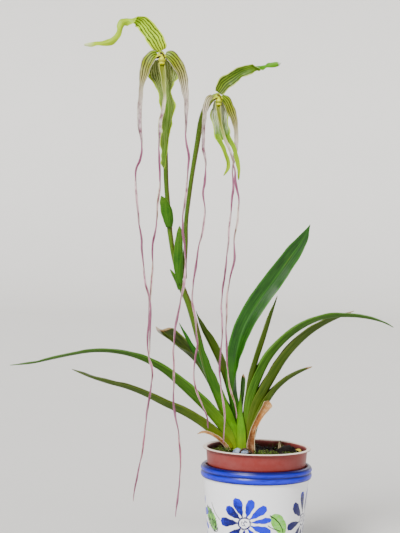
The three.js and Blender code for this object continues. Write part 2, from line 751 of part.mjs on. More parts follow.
const PEDICEL_B = [
  [-69.8, -9.6, 258, 1.8],
  [-70.2, -10.4, 272, 2],
  [-69.6, -11.2, 290, 2],
  [-69.8, -12, 310, 2],
  [-68, -12.8, 329, 2],
  [-65.4, -13.6, 352, 2.1],
  [-61.4, -14.4, 380, 2.3],
  [-58, -15.2, 402, 2.6],
  [-54, -16.2, 414, 2.7],
  [-49.4, -18.6, 421, 2.7],
  [-45.6, -22.6, 423.4, 2.7],
  [-44, -27, 423.2, 2.7],
  [-44, -34, 423, 2.8],
];

// Bracts clasp the stem at its joints: stations x, y, z, flat width, turn, fold
const BRACTS = [
  {
    name: "bract_lower",
    stations: [
      [-74.8, -10.6, 247.4, 7, -127, 44],
      [-77, -11.4, 253.6, 8, -127, 48],
      [-80.2, -12.4, 260, 6, -127, 44],
      [-83.4, -13.2, 266.4, 2.4, -127, 40],
    ],
  },
  {
    name: "bract_flower_b",
    stations: [
      [-73.8, -15.6, 253.4, 5, 0, -30],
      [-75, -16.4, 261, 8, 0, -46],
      [-76, -17.2, 270, 10, 0, -46],
      [-76.2, -17.4, 280, 10, 0, -44],
      [-76, -17.4, 290, 8.4, 0, -40],
      [-75.6, -17, 298, 6, 0, -36],
      [-75.4, -16.6, 306, 2.4, 0, -30],
    ],
  },
  {
    name: "bract_flower_a",
    stations: [
      [-84.9, -15.8, 304.4, 8, 0, -60],
      [-85.8, -17, 311, 11, 0, -48],
      [-87.4, -18.3, 319, 12, -6, -40],
      [-89.8, -19.2, 326.6, 9, -14, -34],
      [-92.8, -19.4, 333, 2.4, -20, -30],
    ],
  },
];

// Flowers

// Ribbons: stations x, y, z, width, turn, fold. Only edges and midrib are drawn, so a ribbon is a shallow trough.
const RIBBON_COLUMNS = [-2, 0, 2];

const PETALS = [
  {
    name: "flower_a_left_petal",
    stations: [
      [-99.3, -36, 458.7, 5, -16, 10],
      [-103, -37.4, 457, 8, -26, 24],
      [-107.6, -38.8, 450.5, 8.4, -30, 34],
      [-109.8, -39.6, 443, 8, -30, 40],
      [-110.6, -40, 435, 7, -24, 44],
      [-111.6, -40.6, 426, 4.6, -10, 44],
      [-112.6, -41, 417, 3.6, 10, 40],
      [-113.2, -42, 405, 3.6, 20, 40],
      [-113, -43, 392, 3.8, 0, 38],
      [-111, -43.6, 377, 3.6, 20, 36],
      [-111.4, -43, 366, 3.2, 70, 36],
      [-114.6, -41.6, 354, 3.4, 120, 36],
      [-114.2, -40, 336, 3.2, 170, 36],
      [-112.6, -38.6, 312, 3, 200, 36],
      [-110, -38, 296, 3, 250, 36],
      [-107, -38.4, 276, 3, 300, 36],
      [-104.4, -39.6, 255, 3, 340, 36],
      [-101.4, -41, 239, 3, 380, 36],
      [-101.4, -43, 213, 2.8, 430, 36],
      [-100.2, -44, 191, 2.8, 480, 36],
      [-97, -43.4, 178, 3, 540, 36],
      [-98.2, -41.6, 161, 3, 600, 36],
      [-100, -40, 144, 2.8, 640, 36],
      [-101.6, -38.6, 124, 2.8, 700, 36],
      [-104.6, -38, 103, 2.6, 750, 36],
      [-107.6, -39, 86, 2.4, 800, 36],
      [-111.4, -42, 58, 1.8, 880, 30],
    ],
  },
  {
    name: "flower_a_right_petal",
    stations: [
      [-90.7, -36, 458.7, 5, 16, 10],
      [-85, -37.4, 456.6, 8, 26, 24],
      [-79, -38.8, 449.4, 8.4, 28, 34],
      [-75.4, -39.6, 440, 8, 26, 40],
      [-74, -40, 431, 7.4, 20, 44],
      [-72.8, -40.6, 421, 5, 10, 44],
      [-71.8, -41, 411, 3.8, 0, 40],
      [-72.6, -42, 396, 3.6, 30, 38],
      [-71.4, -43, 380, 3.6, 50, 36],
      [-68.2, -43.6, 368, 3.2, 90, 36],
      [-68.8, -43, 350, 3, 140, 36],
      [-70, -41.6, 335, 3, 180, 36],
      [-73, -40, 317, 3, 220, 36],
      [-72.6, -39, 302, 3, 260, 36],
      [-69.6, -38.6, 286, 3, 300, 36],
      [-69, -39.4, 262, 3, 340, 36],
      [-72, -41, 247, 3, 380, 36],
      [-75, -42.6, 230, 3, 440, 36],
      [-77, -43.6, 209, 2.8, 480, 36],
      [-77.4, -43, 188, 2.8, 520, 36],
      [-77.8, -41, 163, 2.8, 560, 36],
      [-77, -39.6, 145, 2.8, 600, 36],
      [-72.4, -38.8, 124, 2.8, 660, 36],
      [-70, -39.6, 103, 2.6, 700, 36],
      [-70.4, -41, 84, 2.6, 740, 36],
      [-71.6, -42.4, 62, 2.2, 780, 36],
      [-73, -43, 45, 1.6, 820, 30],
    ],
  },
  {
    name: "flower_a_lip",
    stations: [
      [-94.6, -35.8, 455, 4.4, 0, 10],
      [-94.3, -38, 449.6, 6.4, 0, 20],
      [-93.4, -42, 443, 6.4, 0, 30],
      [-92.2, -45, 433, 4.6, 0, 40],
      [-91.2, -46, 420, 3.6, 10, 40],
      [-92.2, -46.6, 408, 3.8, 0, 36],
      [-94.2, -47, 394, 3.6, -20, 36],
      [-95.4, -47, 380, 3.4, 20, 36],
      [-95, -47, 366, 3.2, 60, 36],
      [-93.2, -46, 352, 3, 110, 36],
      [-93.2, -45.4, 338, 3, 160, 36],
      [-95.4, -45.6, 324, 3, 200, 36],
      [-96.4, -46.6, 304, 3, 250, 36],
      [-98.4, -47.4, 288, 2.8, 300, 36],
      [-97.6, -48, 265, 2.8, 350, 36],
      [-100, -48.2, 250, 2.8, 400, 36],
      [-99.4, -48.6, 230, 2.6, 450, 36],
      [-98.8, -49, 212, 2.4, 500, 36],
      [-99.6, -49.6, 191, 1.8, 540, 30],
    ],
  },
  {
    name: "flower_b_left_petal",
    stations: [
      [-48.3, -32.4, 422.7, 4.2, -20, 10],
      [-51.2, -33.2, 420, 8, -34, 30],
      [-53.4, -34.4, 412, 7.6, -34, 44],
      [-55, -35.4, 401, 4.6, -20, 44],
      [-55.8, -36, 389, 3.8, 0, 40],
      [-56, -36, 376, 3.6, 20, 38],
      [-53.6, -36.6, 362, 3.2, 60, 36],
      [-54, -37.4, 347, 3, 110, 36],
      [-54.6, -38, 336, 3, 140, 36],
      [-52.4, -38.4, 320, 3, 180, 36],
      [-54.4, -38, 304, 3, 220, 36],
      [-58, -37, 289, 2.8, 270, 36],
      [-60, -35.4, 268, 2.8, 310, 36],
      [-62, -34, 246, 2.8, 360, 36],
      [-59.6, -33.4, 220, 2.8, 420, 36],
      [-57.6, -34, 202, 2.8, 460, 36],
      [-58.4, -35, 187, 2.6, 500, 36],
      [-59.2, -36, 173, 2.6, 540, 36],
      [-56.4, -37.4, 157, 2.4, 580, 36],
      [-52, -38.4, 146, 2.4, 620, 36],
      [-47.4, -39, 136, 2.2, 660, 36],
      [-45.4, -39.4, 125, 1.6, 700, 30],
    ],
  },
  {
    name: "flower_b_right_petal",
    stations: [
      [-40.2, -32.4, 422.8, 4.2, 20, 10],
      [-35, -32, 419, 7, 30, 30],
      [-30.8, -31, 411, 7, 30, 40],
      [-28, -30, 400, 5, 10, 44],
      [-26.2, -29, 388, 4.8, 0, 40],
      [-26.4, -28.6, 375, 4.4, 0, 36],
      [-29.4, -29.4, 359, 3.2, 50, 36],
      [-28.4, -31, 344, 3, 90, 36],
      [-28.6, -32.4, 326, 3, 140, 36],
      [-30.4, -34, 306, 3, 190, 36],
      [-32.2, -35, 286, 2.8, 230, 36],
      [-34, -35, 262, 2.8, 280, 36],
      [-35.4, -34, 242, 2.8, 330, 36],
      [-35.4, -32.6, 222, 2.8, 370, 36],
      [-35.4, -31.4, 205, 2.6, 410, 36],
      [-36.4, -31, 180, 2.6, 460, 36],
      [-34, -32, 160, 2.6, 510, 36],
      [-31.4, -33.6, 137, 2.4, 560, 36],
      [-31.8, -35, 111.4, 1.6, 600, 30],
    ],
  },
  {
    name: "flower_b_lip",
    stations: [
      [-43.6, -32, 419.7, 4, 0, 10],
      [-43.2, -34.6, 414.6, 5.6, 0, 24],
      [-42.4, -37.4, 408, 5, 0, 34],
      [-40.8, -38.4, 398, 3.8, 0, 40],
      [-37, -38.8, 385, 3.4, 10, 38],
      [-31.6, -39, 372, 3.2, 40, 36],
      [-27.6, -39, 358, 3, 90, 36],
      [-27, -39.4, 348, 3, 120, 36],
      [-22.4, -40, 332, 3, 170, 36],
      [-23, -40.6, 314, 3, 220, 36],
      [-26.6, -41.4, 298, 2.8, 270, 36],
      [-26, -42, 276, 2.8, 320, 36],
      [-29.8, -41.6, 254, 2.8, 370, 36],
      [-31.4, -40.6, 236, 2.8, 410, 36],
      [-32, -39.4, 216, 2.6, 450, 36],
      [-30.4, -38.6, 194, 2.6, 500, 36],
      [-29, -38.6, 178, 2.6, 540, 36],
      [-25.8, -39.6, 159, 2.4, 580, 36],
      [-22, -41, 146, 2.2, 620, 36],
      [-20, -42, 135, 1.6, 650, 30],
    ],
  },
];

function ribbon({ stations }) {
  return blade(stations, { thickness: RIBBON_THICKNESS, step: RIBBON_STEP, columns: RIBBON_COLUMNS });
}

// Dorsal sepals: broad at the base, then twisted like a curl of paper
const DORSAL_SEPALS = [
  {
    name: "flower_a_dorsal_sepal",
    stations: [
      [-95, -33, 462, 9, 0, 10],
      [-96.6, -33, 465, 13, 0, 16],
      [-100.8, -32.4, 473, 17, 0, 22],
      [-107, -31.6, 480.4, 16, 6, 24],
      [-112.2, -31.6, 486, 11.6, 14, 24],
      [-117.6, -32.4, 489, 8, 40, 20],
      [-122, -33.4, 488.2, 6, 90, 16],
      [-127, -34.6, 487.8, 6.4, 150, 16],
      [-130.6, -35.8, 485.4, 6, 190, 18],
      [-131.4, -36.6, 480.4, 5, 225, 20],
      [-134.2, -37.4, 474, 6.4, 190, 22],
      [-140.6, -38, 469, 6, 175, 24],
      [-147.6, -38.4, 467, 5, 170, 30],
      [-155.6, -38.6, 466.2, 5, 170, 30],
      [-164, -38.6, 465.6, 2.6, 170, 20],
    ],
    ruffle: (share, sign) => 0.7 * Math.sin(30 * share + sign),
  },
  {
    name: "flower_b_dorsal_sepal",
    stations: [
      [-43.4, -29, 426.3, 8, 0, 10],
      [-41.6, -29, 429, 10.6, 0, 16],
      [-37.4, -28.6, 435.2, 12, 0, 24],
      [-30, -28, 440.8, 11, -6, 30],
      [-23.4, -27.6, 445.6, 8.6, -10, 30],
      [-17, -27.6, 448, 8, -10, 26],
      [-12.4, -28, 449.2, 8.6, -20, 20],
      [-8.4, -28.6, 450.6, 6, -70, 18],
      [-1.6, -29, 451.4, 4.4, -140, 20],
      [6, -29, 452.6, 4, -175, 24],
      [12, -29, 454.4, 2.6, -180, 20],
    ],
    ruffle: (share, sign) => 0.8 * Math.sin(26 * share + 2 * sign),
  },
];

function dorsalSepal({ stations, ruffle }) {
  return blade(stations, { step: 4.2, ruffle });
}

// The fused lower sepals: a bell behind the lip, drawn out into a wavy blade
const SYNSEPAL_A = [
  [-95, -33.2, 454.4, 10, 0, 14],
  [-94.6, -31.4, 452, 20, 0, 22],
  [-93.6, -29.4, 448, 27.6, 0, 26],
  [-92.4, -28.2, 442, 31, 0, 28],
  [-92.2, -28.6, 437, 30, 0, 28],
  [-92, -30.6, 431, 20, 0, 30],
  [-90.6, -33.2, 423, 13, 0, 30],
  [-88.4, -34.6, 413, 15, 0, 24],
  [-88.6, -34.2, 400, 11, 0, 30],
  [-89.4, -33.8, 388, 9.4, -10, 34],
  [-90, -33.4, 376, 8.4, -16, 36],
  [-90.6, -33, 364, 5, -10, 34],
  [-90.8, -33, 357, 2, 0, 20],
];
const SYNSEPAL_B = [
  [-43.6, -29, 419.7, 6, 0, 10],
  [-43.4, -28.6, 416, 11, 0, 18],
  [-42.6, -29, 409, 15, 0, 26],
  [-41.8, -30.4, 402, 15.4, 0, 30],
  [-40.8, -31.6, 395, 12.6, 0, 30],
  [-38.8, -32.4, 388, 15, 0, 22],
  [-37.4, -32.8, 384, 11, 0, 16],
];
const SYNSEPAL_B_TAILS = [
  [
    [-43.4, -33, 389, 4.4, 0, 16],
    [-42.4, -33.4, 385, 4.6, 0, 20],
    [-38.2, -34, 377.4, 4.4, 0, 26],
    [-35, -34.2, 370, 4.2, 10, 26],
    [-33.2, -34.2, 362.6, 3.8, 20, 26],
    [-34.4, -34, 356, 3, 20, 20],
    [-37, -33.6, 351.6, 1.8, 10, 10],
  ],
  [
    [-34.2, -33, 389, 4.4, 0, 16],
    [-33, -33.4, 385, 4.6, 0, 20],
    [-29, -34, 378, 4.6, 0, 26],
    [-25.8, -34.2, 370, 4.4, -10, 26],
    [-23.8, -34.2, 361, 4, -20, 26],
    [-23.2, -34, 348, 2, -20, 10],
  ],
];

function synsepalA() {
  const ruffle = (share, sign) => (share > 0.4 ? 1.2 : 0.3) * Math.sin(34 * share + sign);
  return blade(SYNSEPAL_A, { step: 4.6, ruffle });
}

function synsepalB() {
  const ruffle = (share, sign) => 0.7 * Math.sin(16 * share + 1.5 * sign);
  const body = blade(SYNSEPAL_B, { step: 4, ruffle });
  const tails = SYNSEPAL_B_TAILS.map((stations) => blade(stations, { step: 5, columns: RIBBON_COLUMNS }));
  return join([body, ...tails]);
}

// The column: a shield-shaped staminode over a rounded lower lobe, with a pair of side lobes
function column([x, y, z], scale) {
  const lobe = ([dx, dy, dz], [width, depth, height]) =>
    new THREE.SphereGeometry(1, 10, 6)
      .scale((scale * width) / 2, (scale * depth) / 2, (scale * height) / 2)
      .translate(x + scale * dx, y + scale * dy, z + scale * dz);
  return join([
    lobe([0, 0, 1.6], [7.4, 4.4, 5.6]),
    lobe([0.8, -0.8, -2.4], [6.6, 4.2, 4.6]),
    lobe([-3.4, 0.2, 0], [3.4, 2.6, 2.8]),
    lobe([3.4, 0.2, 0.6], [2.6, 2.4, 3.2]),
  ]);
}

// Assembly

const plant = new THREE.Group();
plant.name = "potted_orchid";

function add(group, name, geometry, material) {
  const mesh = new THREE.Mesh(geometry, material);
  mesh.name = name;
  group.add(mesh);
}

const pots = new THREE.Group();
add(pots, "cachepot", cachepot(), glazedCeramic);
add(pots, "nursery_pot", nurseryPot(), brownPlastic);
add(pots, "potting_mix", pottingMix(), darkMix);
add(pots, "stones", join(STONES.map((each) => stone(each))), whitePebble);
add(pots, "yellow_stone", stone(YELLOW_STONE), yellowPebble);
plant.add(pots);

const foliage = new THREE.Group();
add(foliage, "rootstock", rootstock(), paleRoot);
LEAVES.forEach((each) => add(foliage, each.name, leaf(each), each.material));
DRY_SHEATHS.forEach((each) =>
  add(foliage, each.name, blade(each.stations, { thickness: LEAF_THICKNESS, step: 5 }), dryLeaf),
);
plant.add(foliage);

const flowerStem = new THREE.Group();
add(flowerStem, "scape", stalk(SCAPE), stemGreen);
add(flowerStem, "flower_stalk_a", stalk(PEDICEL_A), stemGreen);
add(flowerStem, "flower_stalk_b", stalk(PEDICEL_B), stemGreen);
BRACTS.forEach(({ name, stations }) =>
  add(flowerStem, name, blade(stations, { keelShare: 0.55, step: 5 }), bractGreen),
);
plant.add(flowerStem);

const flowers = new THREE.Group();
PETALS.forEach((each) => add(flowers, each.name, ribbon(each), ribbonPink));
DORSAL_SEPALS.forEach((each) => add(flowers, each.name, dorsalSepal(each), sepalYellowGreen));
add(flowers, "flower_a_synsepal", synsepalA(), sepalGreyGreen);
add(flowers, "flower_b_synsepal", synsepalB(), sepalGreyGreen);
add(flowers, "flower_a_column", column([-95, -40.5, 455.6], 1), columnYellow);
add(flowers, "flower_b_column", column([-43.4, -36.3, 420.2], 0.9), columnYellow);
plant.add(flowers);

export default plant;
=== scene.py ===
"""Looks of a potted slipper orchid with ribbon petals, Phragmipedium lindenii: two pots, potting mix,
leaves, flower stem and two flowers.

Tables are in millimetres and meshes in metres, +Z up. The origin is the centre of the cachepot's flat base,
and the flowers face -Y.
"""

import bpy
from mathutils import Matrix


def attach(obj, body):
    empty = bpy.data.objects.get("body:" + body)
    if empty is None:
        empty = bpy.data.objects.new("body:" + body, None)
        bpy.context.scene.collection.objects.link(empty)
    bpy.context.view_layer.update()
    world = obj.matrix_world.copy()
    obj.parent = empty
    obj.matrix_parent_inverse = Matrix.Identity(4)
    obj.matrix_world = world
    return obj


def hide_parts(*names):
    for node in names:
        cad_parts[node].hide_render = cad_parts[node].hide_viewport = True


bl_info = {
    "name": "Potted Slipper Orchid", "version": (1, 0, 0), "blender": (4, 5, 0),
    "location": "View3D > Sidebar > Orchid",
    "description": "Builds a potted slipper orchid with ribbon petals, and a plain studio round it",
    "category": "Object",
}

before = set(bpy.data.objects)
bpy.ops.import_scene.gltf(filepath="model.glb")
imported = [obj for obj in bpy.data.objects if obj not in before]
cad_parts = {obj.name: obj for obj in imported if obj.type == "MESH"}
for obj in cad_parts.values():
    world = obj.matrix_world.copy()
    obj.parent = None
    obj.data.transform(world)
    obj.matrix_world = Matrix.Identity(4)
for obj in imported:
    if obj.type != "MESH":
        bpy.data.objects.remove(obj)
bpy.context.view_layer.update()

import bisect
import functools
import math
import random

import bmesh
import bpy
from bpy.props import FloatProperty, FloatVectorProperty, IntProperty, PointerProperty
from mathutils import Matrix, Vector, noise

MM = 0.001

# Camera: where it stands, how far it looks down and how far it is rolled
EYE = (-0.0562, -1.362, 0.308)
LOOK_DOWN = math.radians(1.64)
ROLL = math.radians(1.3)

# Pots and potting mix: levels, radii, drain holes, and the crown of leaves in the middle of the mix
CACHEPOT_TOP = 88
CACHEPOT_FLOOR = 6
FOOT_RADIUS = 41.3
SHOULDER_RADIUS = 48.8
BAND_BOTTOM = 76
BAND_RADIUS = 51.4
NURSERY_FLOOR = 6.3
DRAIN_HOLES = 6
DRAIN_RING = 22
DRAIN_RADIUS = 3.5
LIP_LEVEL = 104
STEP_LEVEL = LIP_LEVEL - 17
LIP_RADIUS = 50
MIX_RADIUS = 44
MIX_WALL_LEVEL = 95.5
MIX_MOUND = 4.5
MOUND_REACH = 30
CROWN = (-14.5, 6)
CROWN_HALF = (16, 20)

# Leaves: level of their feet, room for each nested sheath and for the core, share of the width that bends
LEAF_FOOT = 99.2
SHEATH_PITCH = 1.9
SHEATH_CORE = 2
KEEL_SHARE = 0.14

# Blades: least share of the width at a tip, thickness of a sepal, broad foot of a ribbon and fold beyond it
LEAST_TIP = 0.12
SEPAL_THICKNESS = 0.7
BROAD_FOOT = 50
RIBBON_FOLD = 58

# Leaves: tone, leaves clasped inside, share of dead tip, and stations x, y, z, width, turn, fold, sheath
LEAVES = {
    "leaf_01_long_left": ("mid", 1, 0, (
        (-25, 3, LEAF_FOOT, 16, -90, 80, 1), (-25.6, 3, 104, 17, -90, 80, 1),
        (-30.4, 2.9, 112.6, 21, -90, 80, 0.9), (-39, 1.7, 123.6, 24, -90, 75, 0.1),
        (-50, -0.6, 136, 25, -90, 70, 0), (-65, -1.8, 150.5, 24, -90, 64, 0),
        (-76.5, -2.6, 161, 22, -90, 58, 0), (-88, -3.4, 170.6, 20, -90, 50, 0),
        (-104.5, -4.4, 180.2, 17, -90, 44, 0), (-121.5, -5, 186, 15, -90, 38, 0),
        (-141, -6, 188.6, 13, -90, 34, 0), (-156, -6, 188, 12, -90, 32, 0),
        (-172, -7, 185.2, 11, -90, 30, 0), (-190.5, -8, 181, 10, -90, 28, 0),
        (-208, -9, 177, 8, -90, 26, 0), (-228.5, -10, 175, 3, -90, 20, 0),
    )),
    "leaf_02_lower_left": ("olive", 2, 0, (
        (-26.8, 3, LEAF_FOOT, 16, -90, 80, 1), (-28.2, 3, 102, 17, -90, 80, 1),
        (-33, 2.9, 106.6, 18, -90, 76, 0.9), (-41, 2.2, 112.8, 20, -90, 68, 0.35),
        (-56, 0.4, 124, 20, -90, 66, 0), (-69, -0.6, 131.6, 19, -90, 62, 0),
        (-86.5, -2.4, 139.8, 17, -90, 56, 0), (-104, -4, 148.6, 16, -90, 48, 0),
        (-121, -6, 155.4, 14, -90, 44, 0), (-138, -8, 160, 12, -90, 40, 0), (-156, -10, 166, 9, -90, 36, 0),
        (-171.5, -12, 173, 4, -90, 30, 0),
    )),
    "leaf_03_torn_left": ("olive", 0, 0.045, (
        (-21.6, 21.2, LEAF_FOOT, 13, -90, 80, 1), (-22.6, 21.2, 108, 14, -90, 80, 1),
        (-26, 21.4, 121, 15, -90, 80, 0.5), (-32.4, 22.4, 135.4, 17, -90, 78, 0),
        (-41.2, 23, 150, 19, -90, 76, 0), (-52, 23, 169, 19, -90, 74, 0),
        (-60.4, 22.8, 180.5, 20, -74, 56, 0), (-78, 22.4, 196, 21, -56, 42, 0),
        (-96.5, 22, 212.5, 20, -42, 34, 0),
    )),
    "leaf_04_dark_left": ("cool", 1, 0, (
        (-21.2, 15.7, LEAF_FOOT, 16, -90, 80, 1), (-22, 15.7, 110, 17, -90, 80, 1),
        (-25.6, 15.7, 124, 18, -90, 80, 0.8), (-34, 15.7, 139.6, 18, -90, 78, 0.1),
        (-43, 15.6, 154, 18, -90, 76, 0), (-49, 15.4, 167.4, 16, -90, 74, 0),
        (-57, 15, 182, 13, -90, 70, 0), (-66, 14.4, 197.6, 9, -90, 62, 0), (-74.6, 14, 216, 3, -90, 50, 0),
    )),
    "leaf_05_bright_left": ("bright", 0, 0, (
        (-23.2, 3, LEAF_FOOT, 16, -90, 80, 1), (-23.8, 3, 109, 17, -90, 80, 1),
        (-26.8, 2.7, 120.6, 18, -90, 80, 0.8), (-32.6, 0.5, 134.6, 20, -90, 75, 0),
        (-40.4, -1.2, 149, 24, -90, 68, 0), (-46.6, -2.2, 163, 22, -90, 66, 0),
        (-50.8, -3, 178, 16, -90, 66, 0), (-53.8, -3.8, 193, 9, -90, 64, 0),
        (-55.8, -4.4, 208, 3, -90, 60, 0),
    )),
    "leaf_06_olive_left": ("olive", 0, 0, (
        (-19.4, 15.7, LEAF_FOOT, 15, -90, 80, 1), (-19.8, 15.7, 115, 15, -90, 80, 1),
        (-22, 15.7, 131, 15, -90, 82, 0.8), (-26.8, 15.7, 147, 16, -90, 82, 0.1),
        (-32, 16, 164, 17, -90, 80, 0), (-38.4, 17, 180.4, 18, -90, 76, 0),
        (-46.8, 18.6, 197, 18, -90, 70, 0), (-54.4, 20.4, 212, 12, -90, 66, 0),
        (-59, 22, 227, 3, -90, 60, 0),
    )),
    "leaf_07_tall_right": ("cool", 0, 0, (
        (-6, 7.2, LEAF_FOOT, 19, 90, 80, 1), (-6.2, 7.2, 106, 19, 90, 80, 1),
        (-8.2, 7.6, 116, 19, 90, 80, 0.9), (-13.4, 8.8, 130, 19, 90, 76, 0.4),
        (-18.2, 9.6, 147, 19, 76, 66, 0), (-20.8, 9.2, 163, 19, 58, 50, 0), (-21, 9.6, 180, 19, 40, 38, 0),
        (-18.8, 10.2, 197, 19, 26, 30, 0), (-13.4, 10.6, 214.5, 19, 18, 24, 0),
        (-2.5, 10.6, 235.5, 19.5, 12, 20, 0), (12, 9.6, 257, 19, 8, 18, 0),
        (28.5, 7.6, 281.5, 16, 6, 16, 0), (38.6, 5.6, 297, 11, 4, 14, 0), (44.6, 4.2, 310, 3, 2, 8, 0),
    )),
    "leaf_08_narrow_right": ("olive", 0, 0.03, (
        (-8.9, -4.5, LEAF_FOOT, 13, 90, 80, 1), (-8.6, -4.5, 115, 13, 90, 80, 1),
        (-8.2, -4.5, 136, 12, 90, 84, 1), (-6.8, -4.5, 155, 11, 90, 82, 0.3),
        (-4.2, -4.3, 170, 12, 90, 78, 0), (-0.4, -2.4, 185, 12, 90, 74, 0), (4.6, 2, 200.5, 12, 90, 68, 0),
        (10.2, 8.6, 220, 10, 90, 62, 0), (16.6, 16, 243, 3, 90, 50, 0),
    )),
    "leaf_09_arching_right": ("mid", 1, 0, (
        (-7.1, -4.5, LEAF_FOOT, 16, 90, 80, 1), (-6.6, -4.5, 113, 16, 90, 80, 1),
        (-5.4, -4.5, 131, 18, 90, 80, 1), (-2, -4.6, 152, 20, 90, 78, 0.5), (3.8, -5.2, 170, 20, 90, 74, 0),
        (11, -6.4, 185.5, 19, 90, 68, 0), (19.8, -8, 197.6, 18, 90, 60, 0),
        (31.2, -9.6, 209, 17, 90, 54, 0), (45, -11, 218.4, 16, 90, 48, 0), (59, -12, 224.2, 15, 90, 42, 0),
        (77, -13, 226.4, 13, 90, 38, 0), (95.5, -14, 225.6, 12, 90, 34, 0),
        (113, -14.5, 221.8, 8, 90, 28, 0), (121.6, -14.6, 217.8, 3, 90, 22, 0),
    )),
    "leaf_10_olive_right": ("olive", 2, 0.07, (
        (-5.3, -4.5, LEAF_FOOT, 17, 90, 80, 1), (-4.6, -4.5, 111, 17, 90, 80, 1),
        (-2.4, -4.5, 127, 19, 90, 80, 1), (-0.2, -4.5, 134, 20, 90, 80, 1),
        (3.4, -4.5, 144, 21, 90, 76, 0.4), (10, -4.4, 157.4, 22, 90, 72, 0),
        (17.6, -4, 171.6, 21, 90, 68, 0), (25.6, -3, 185.2, 20, 90, 66, 0), (36, -1.4, 198, 19, 90, 62, 0),
        (48.4, 1, 209.6, 17, 90, 56, 0), (61.6, 3, 218.4, 14, 90, 50, 0), (75.4, 5, 225.4, 10, 90, 42, 0),
        (87.6, 7, 231, 4, 90, 30, 0),
    )),
    "leaf_11_short_right": ("olive", 3, 0.08, (
        (-3.4, -4.5, LEAF_FOOT, 18, 90, 80, 1), (-2.6, -4.5, 109, 18, 90, 80, 1),
        (-0.2, -4.5, 121, 18, 90, 80, 1), (2.6, -4.5, 130, 17, 90, 78, 1),
        (6.2, -4.6, 138.6, 17, 90, 74, 1), (12, -5.2, 149.4, 16, 90, 62, 0.3),
        (18.2, -6.4, 158.4, 13, 90, 54, 0), (26.2, -8, 166.4, 12, 90, 48, 0),
        (37.8, -9.8, 174.4, 10, 90, 42, 0), (48.8, -11, 180, 7, 90, 36, 0),
    )),
    "leaf_12_short_stub": ("bright", 4, 0.06, (
        (-18.9, -4.5, LEAF_FOOT, 24, -90, 80, 1), (-19, -4.5, 108, 24, -90, 80, 1),
        (-18.9, -4.5, 120, 22, -90, 80, 1), (-18.8, -4.5, 129, 18, -90, 80, 1),
        (-18.4, -4, 138, 12, -82, 70, 0.4), (-17, -3, 148, 8, -60, 60, 0),
        (-15.4, -2, 159, 6.6, -30, 50, 0), (-13.8, -1.2, 171.5, 5.6, -10, 44, 0),
    )),
}

# Dried sheaths: stations x, y, z, width, turn, fold
DRY_SHEATHS = {
    "dried_sheath_left": (
        (-25.4, -5.8, 99.6, 5, -60, 50), (-32, -6.6, 107.6, 6, -50, 55), (-41, -7.8, 114.4, 5, -45, 50),
        (-48.6, -8.6, 117.4, 4, -35, 45), (-55, -9, 115.8, 2.6, -30, 40),
    ),
    "dried_sheath_right": (
        (-5.4, -11.8, 98.9, 8, 0, 40), (-6, -12, 107, 9, 0, 45), (-5.4, -12.2, 114.6, 7.6, 0, 50),
        (-3.8, -12.2, 121, 6.6, 0, 50), (-1.4, -12.4, 127.6, 6.4, 0, 45), (2.2, -12.6, 135, 7, -10, 40),
        (6.2, -12.4, 141.6, 10, -20, 34), (9.4, -11.8, 147.4, 12, -26, 26),
    ),
}

# Bracts: stations x, y, z, width, turn, fold
BRACTS = {
    "bract_lower": (
        (-74.8, -10.6, 247.4, 7, -127, 44), (-77, -11.4, 253.6, 8, -127, 48),
        (-80.2, -12.4, 260, 6, -127, 44), (-83.4, -13.2, 266.4, 2.4, -127, 40),
    ),
    "bract_flower_b": (
        (-73.8, -15.6, 253.4, 5, 0, -30), (-75, -16.4, 261, 8, 0, -46), (-76, -17.2, 270, 10, 0, -46),
        (-76.2, -17.4, 280, 10, 0, -44), (-76, -17.4, 290, 8.4, 0, -40), (-75.6, -17, 298, 6, 0, -36),
        (-75.4, -16.6, 306, 2.4, 0, -30),
    ),
    "bract_flower_a": (
        (-84.9, -15.8, 304.4, 8, 0, -60), (-85.8, -17, 311, 11, 0, -48), (-87.4, -18.3, 319, 12, -6, -40),
        (-89.8, -19.2, 326.6, 9, -14, -34), (-92.8, -19.4, 333, 2.4, -20, -30),
    ),
}

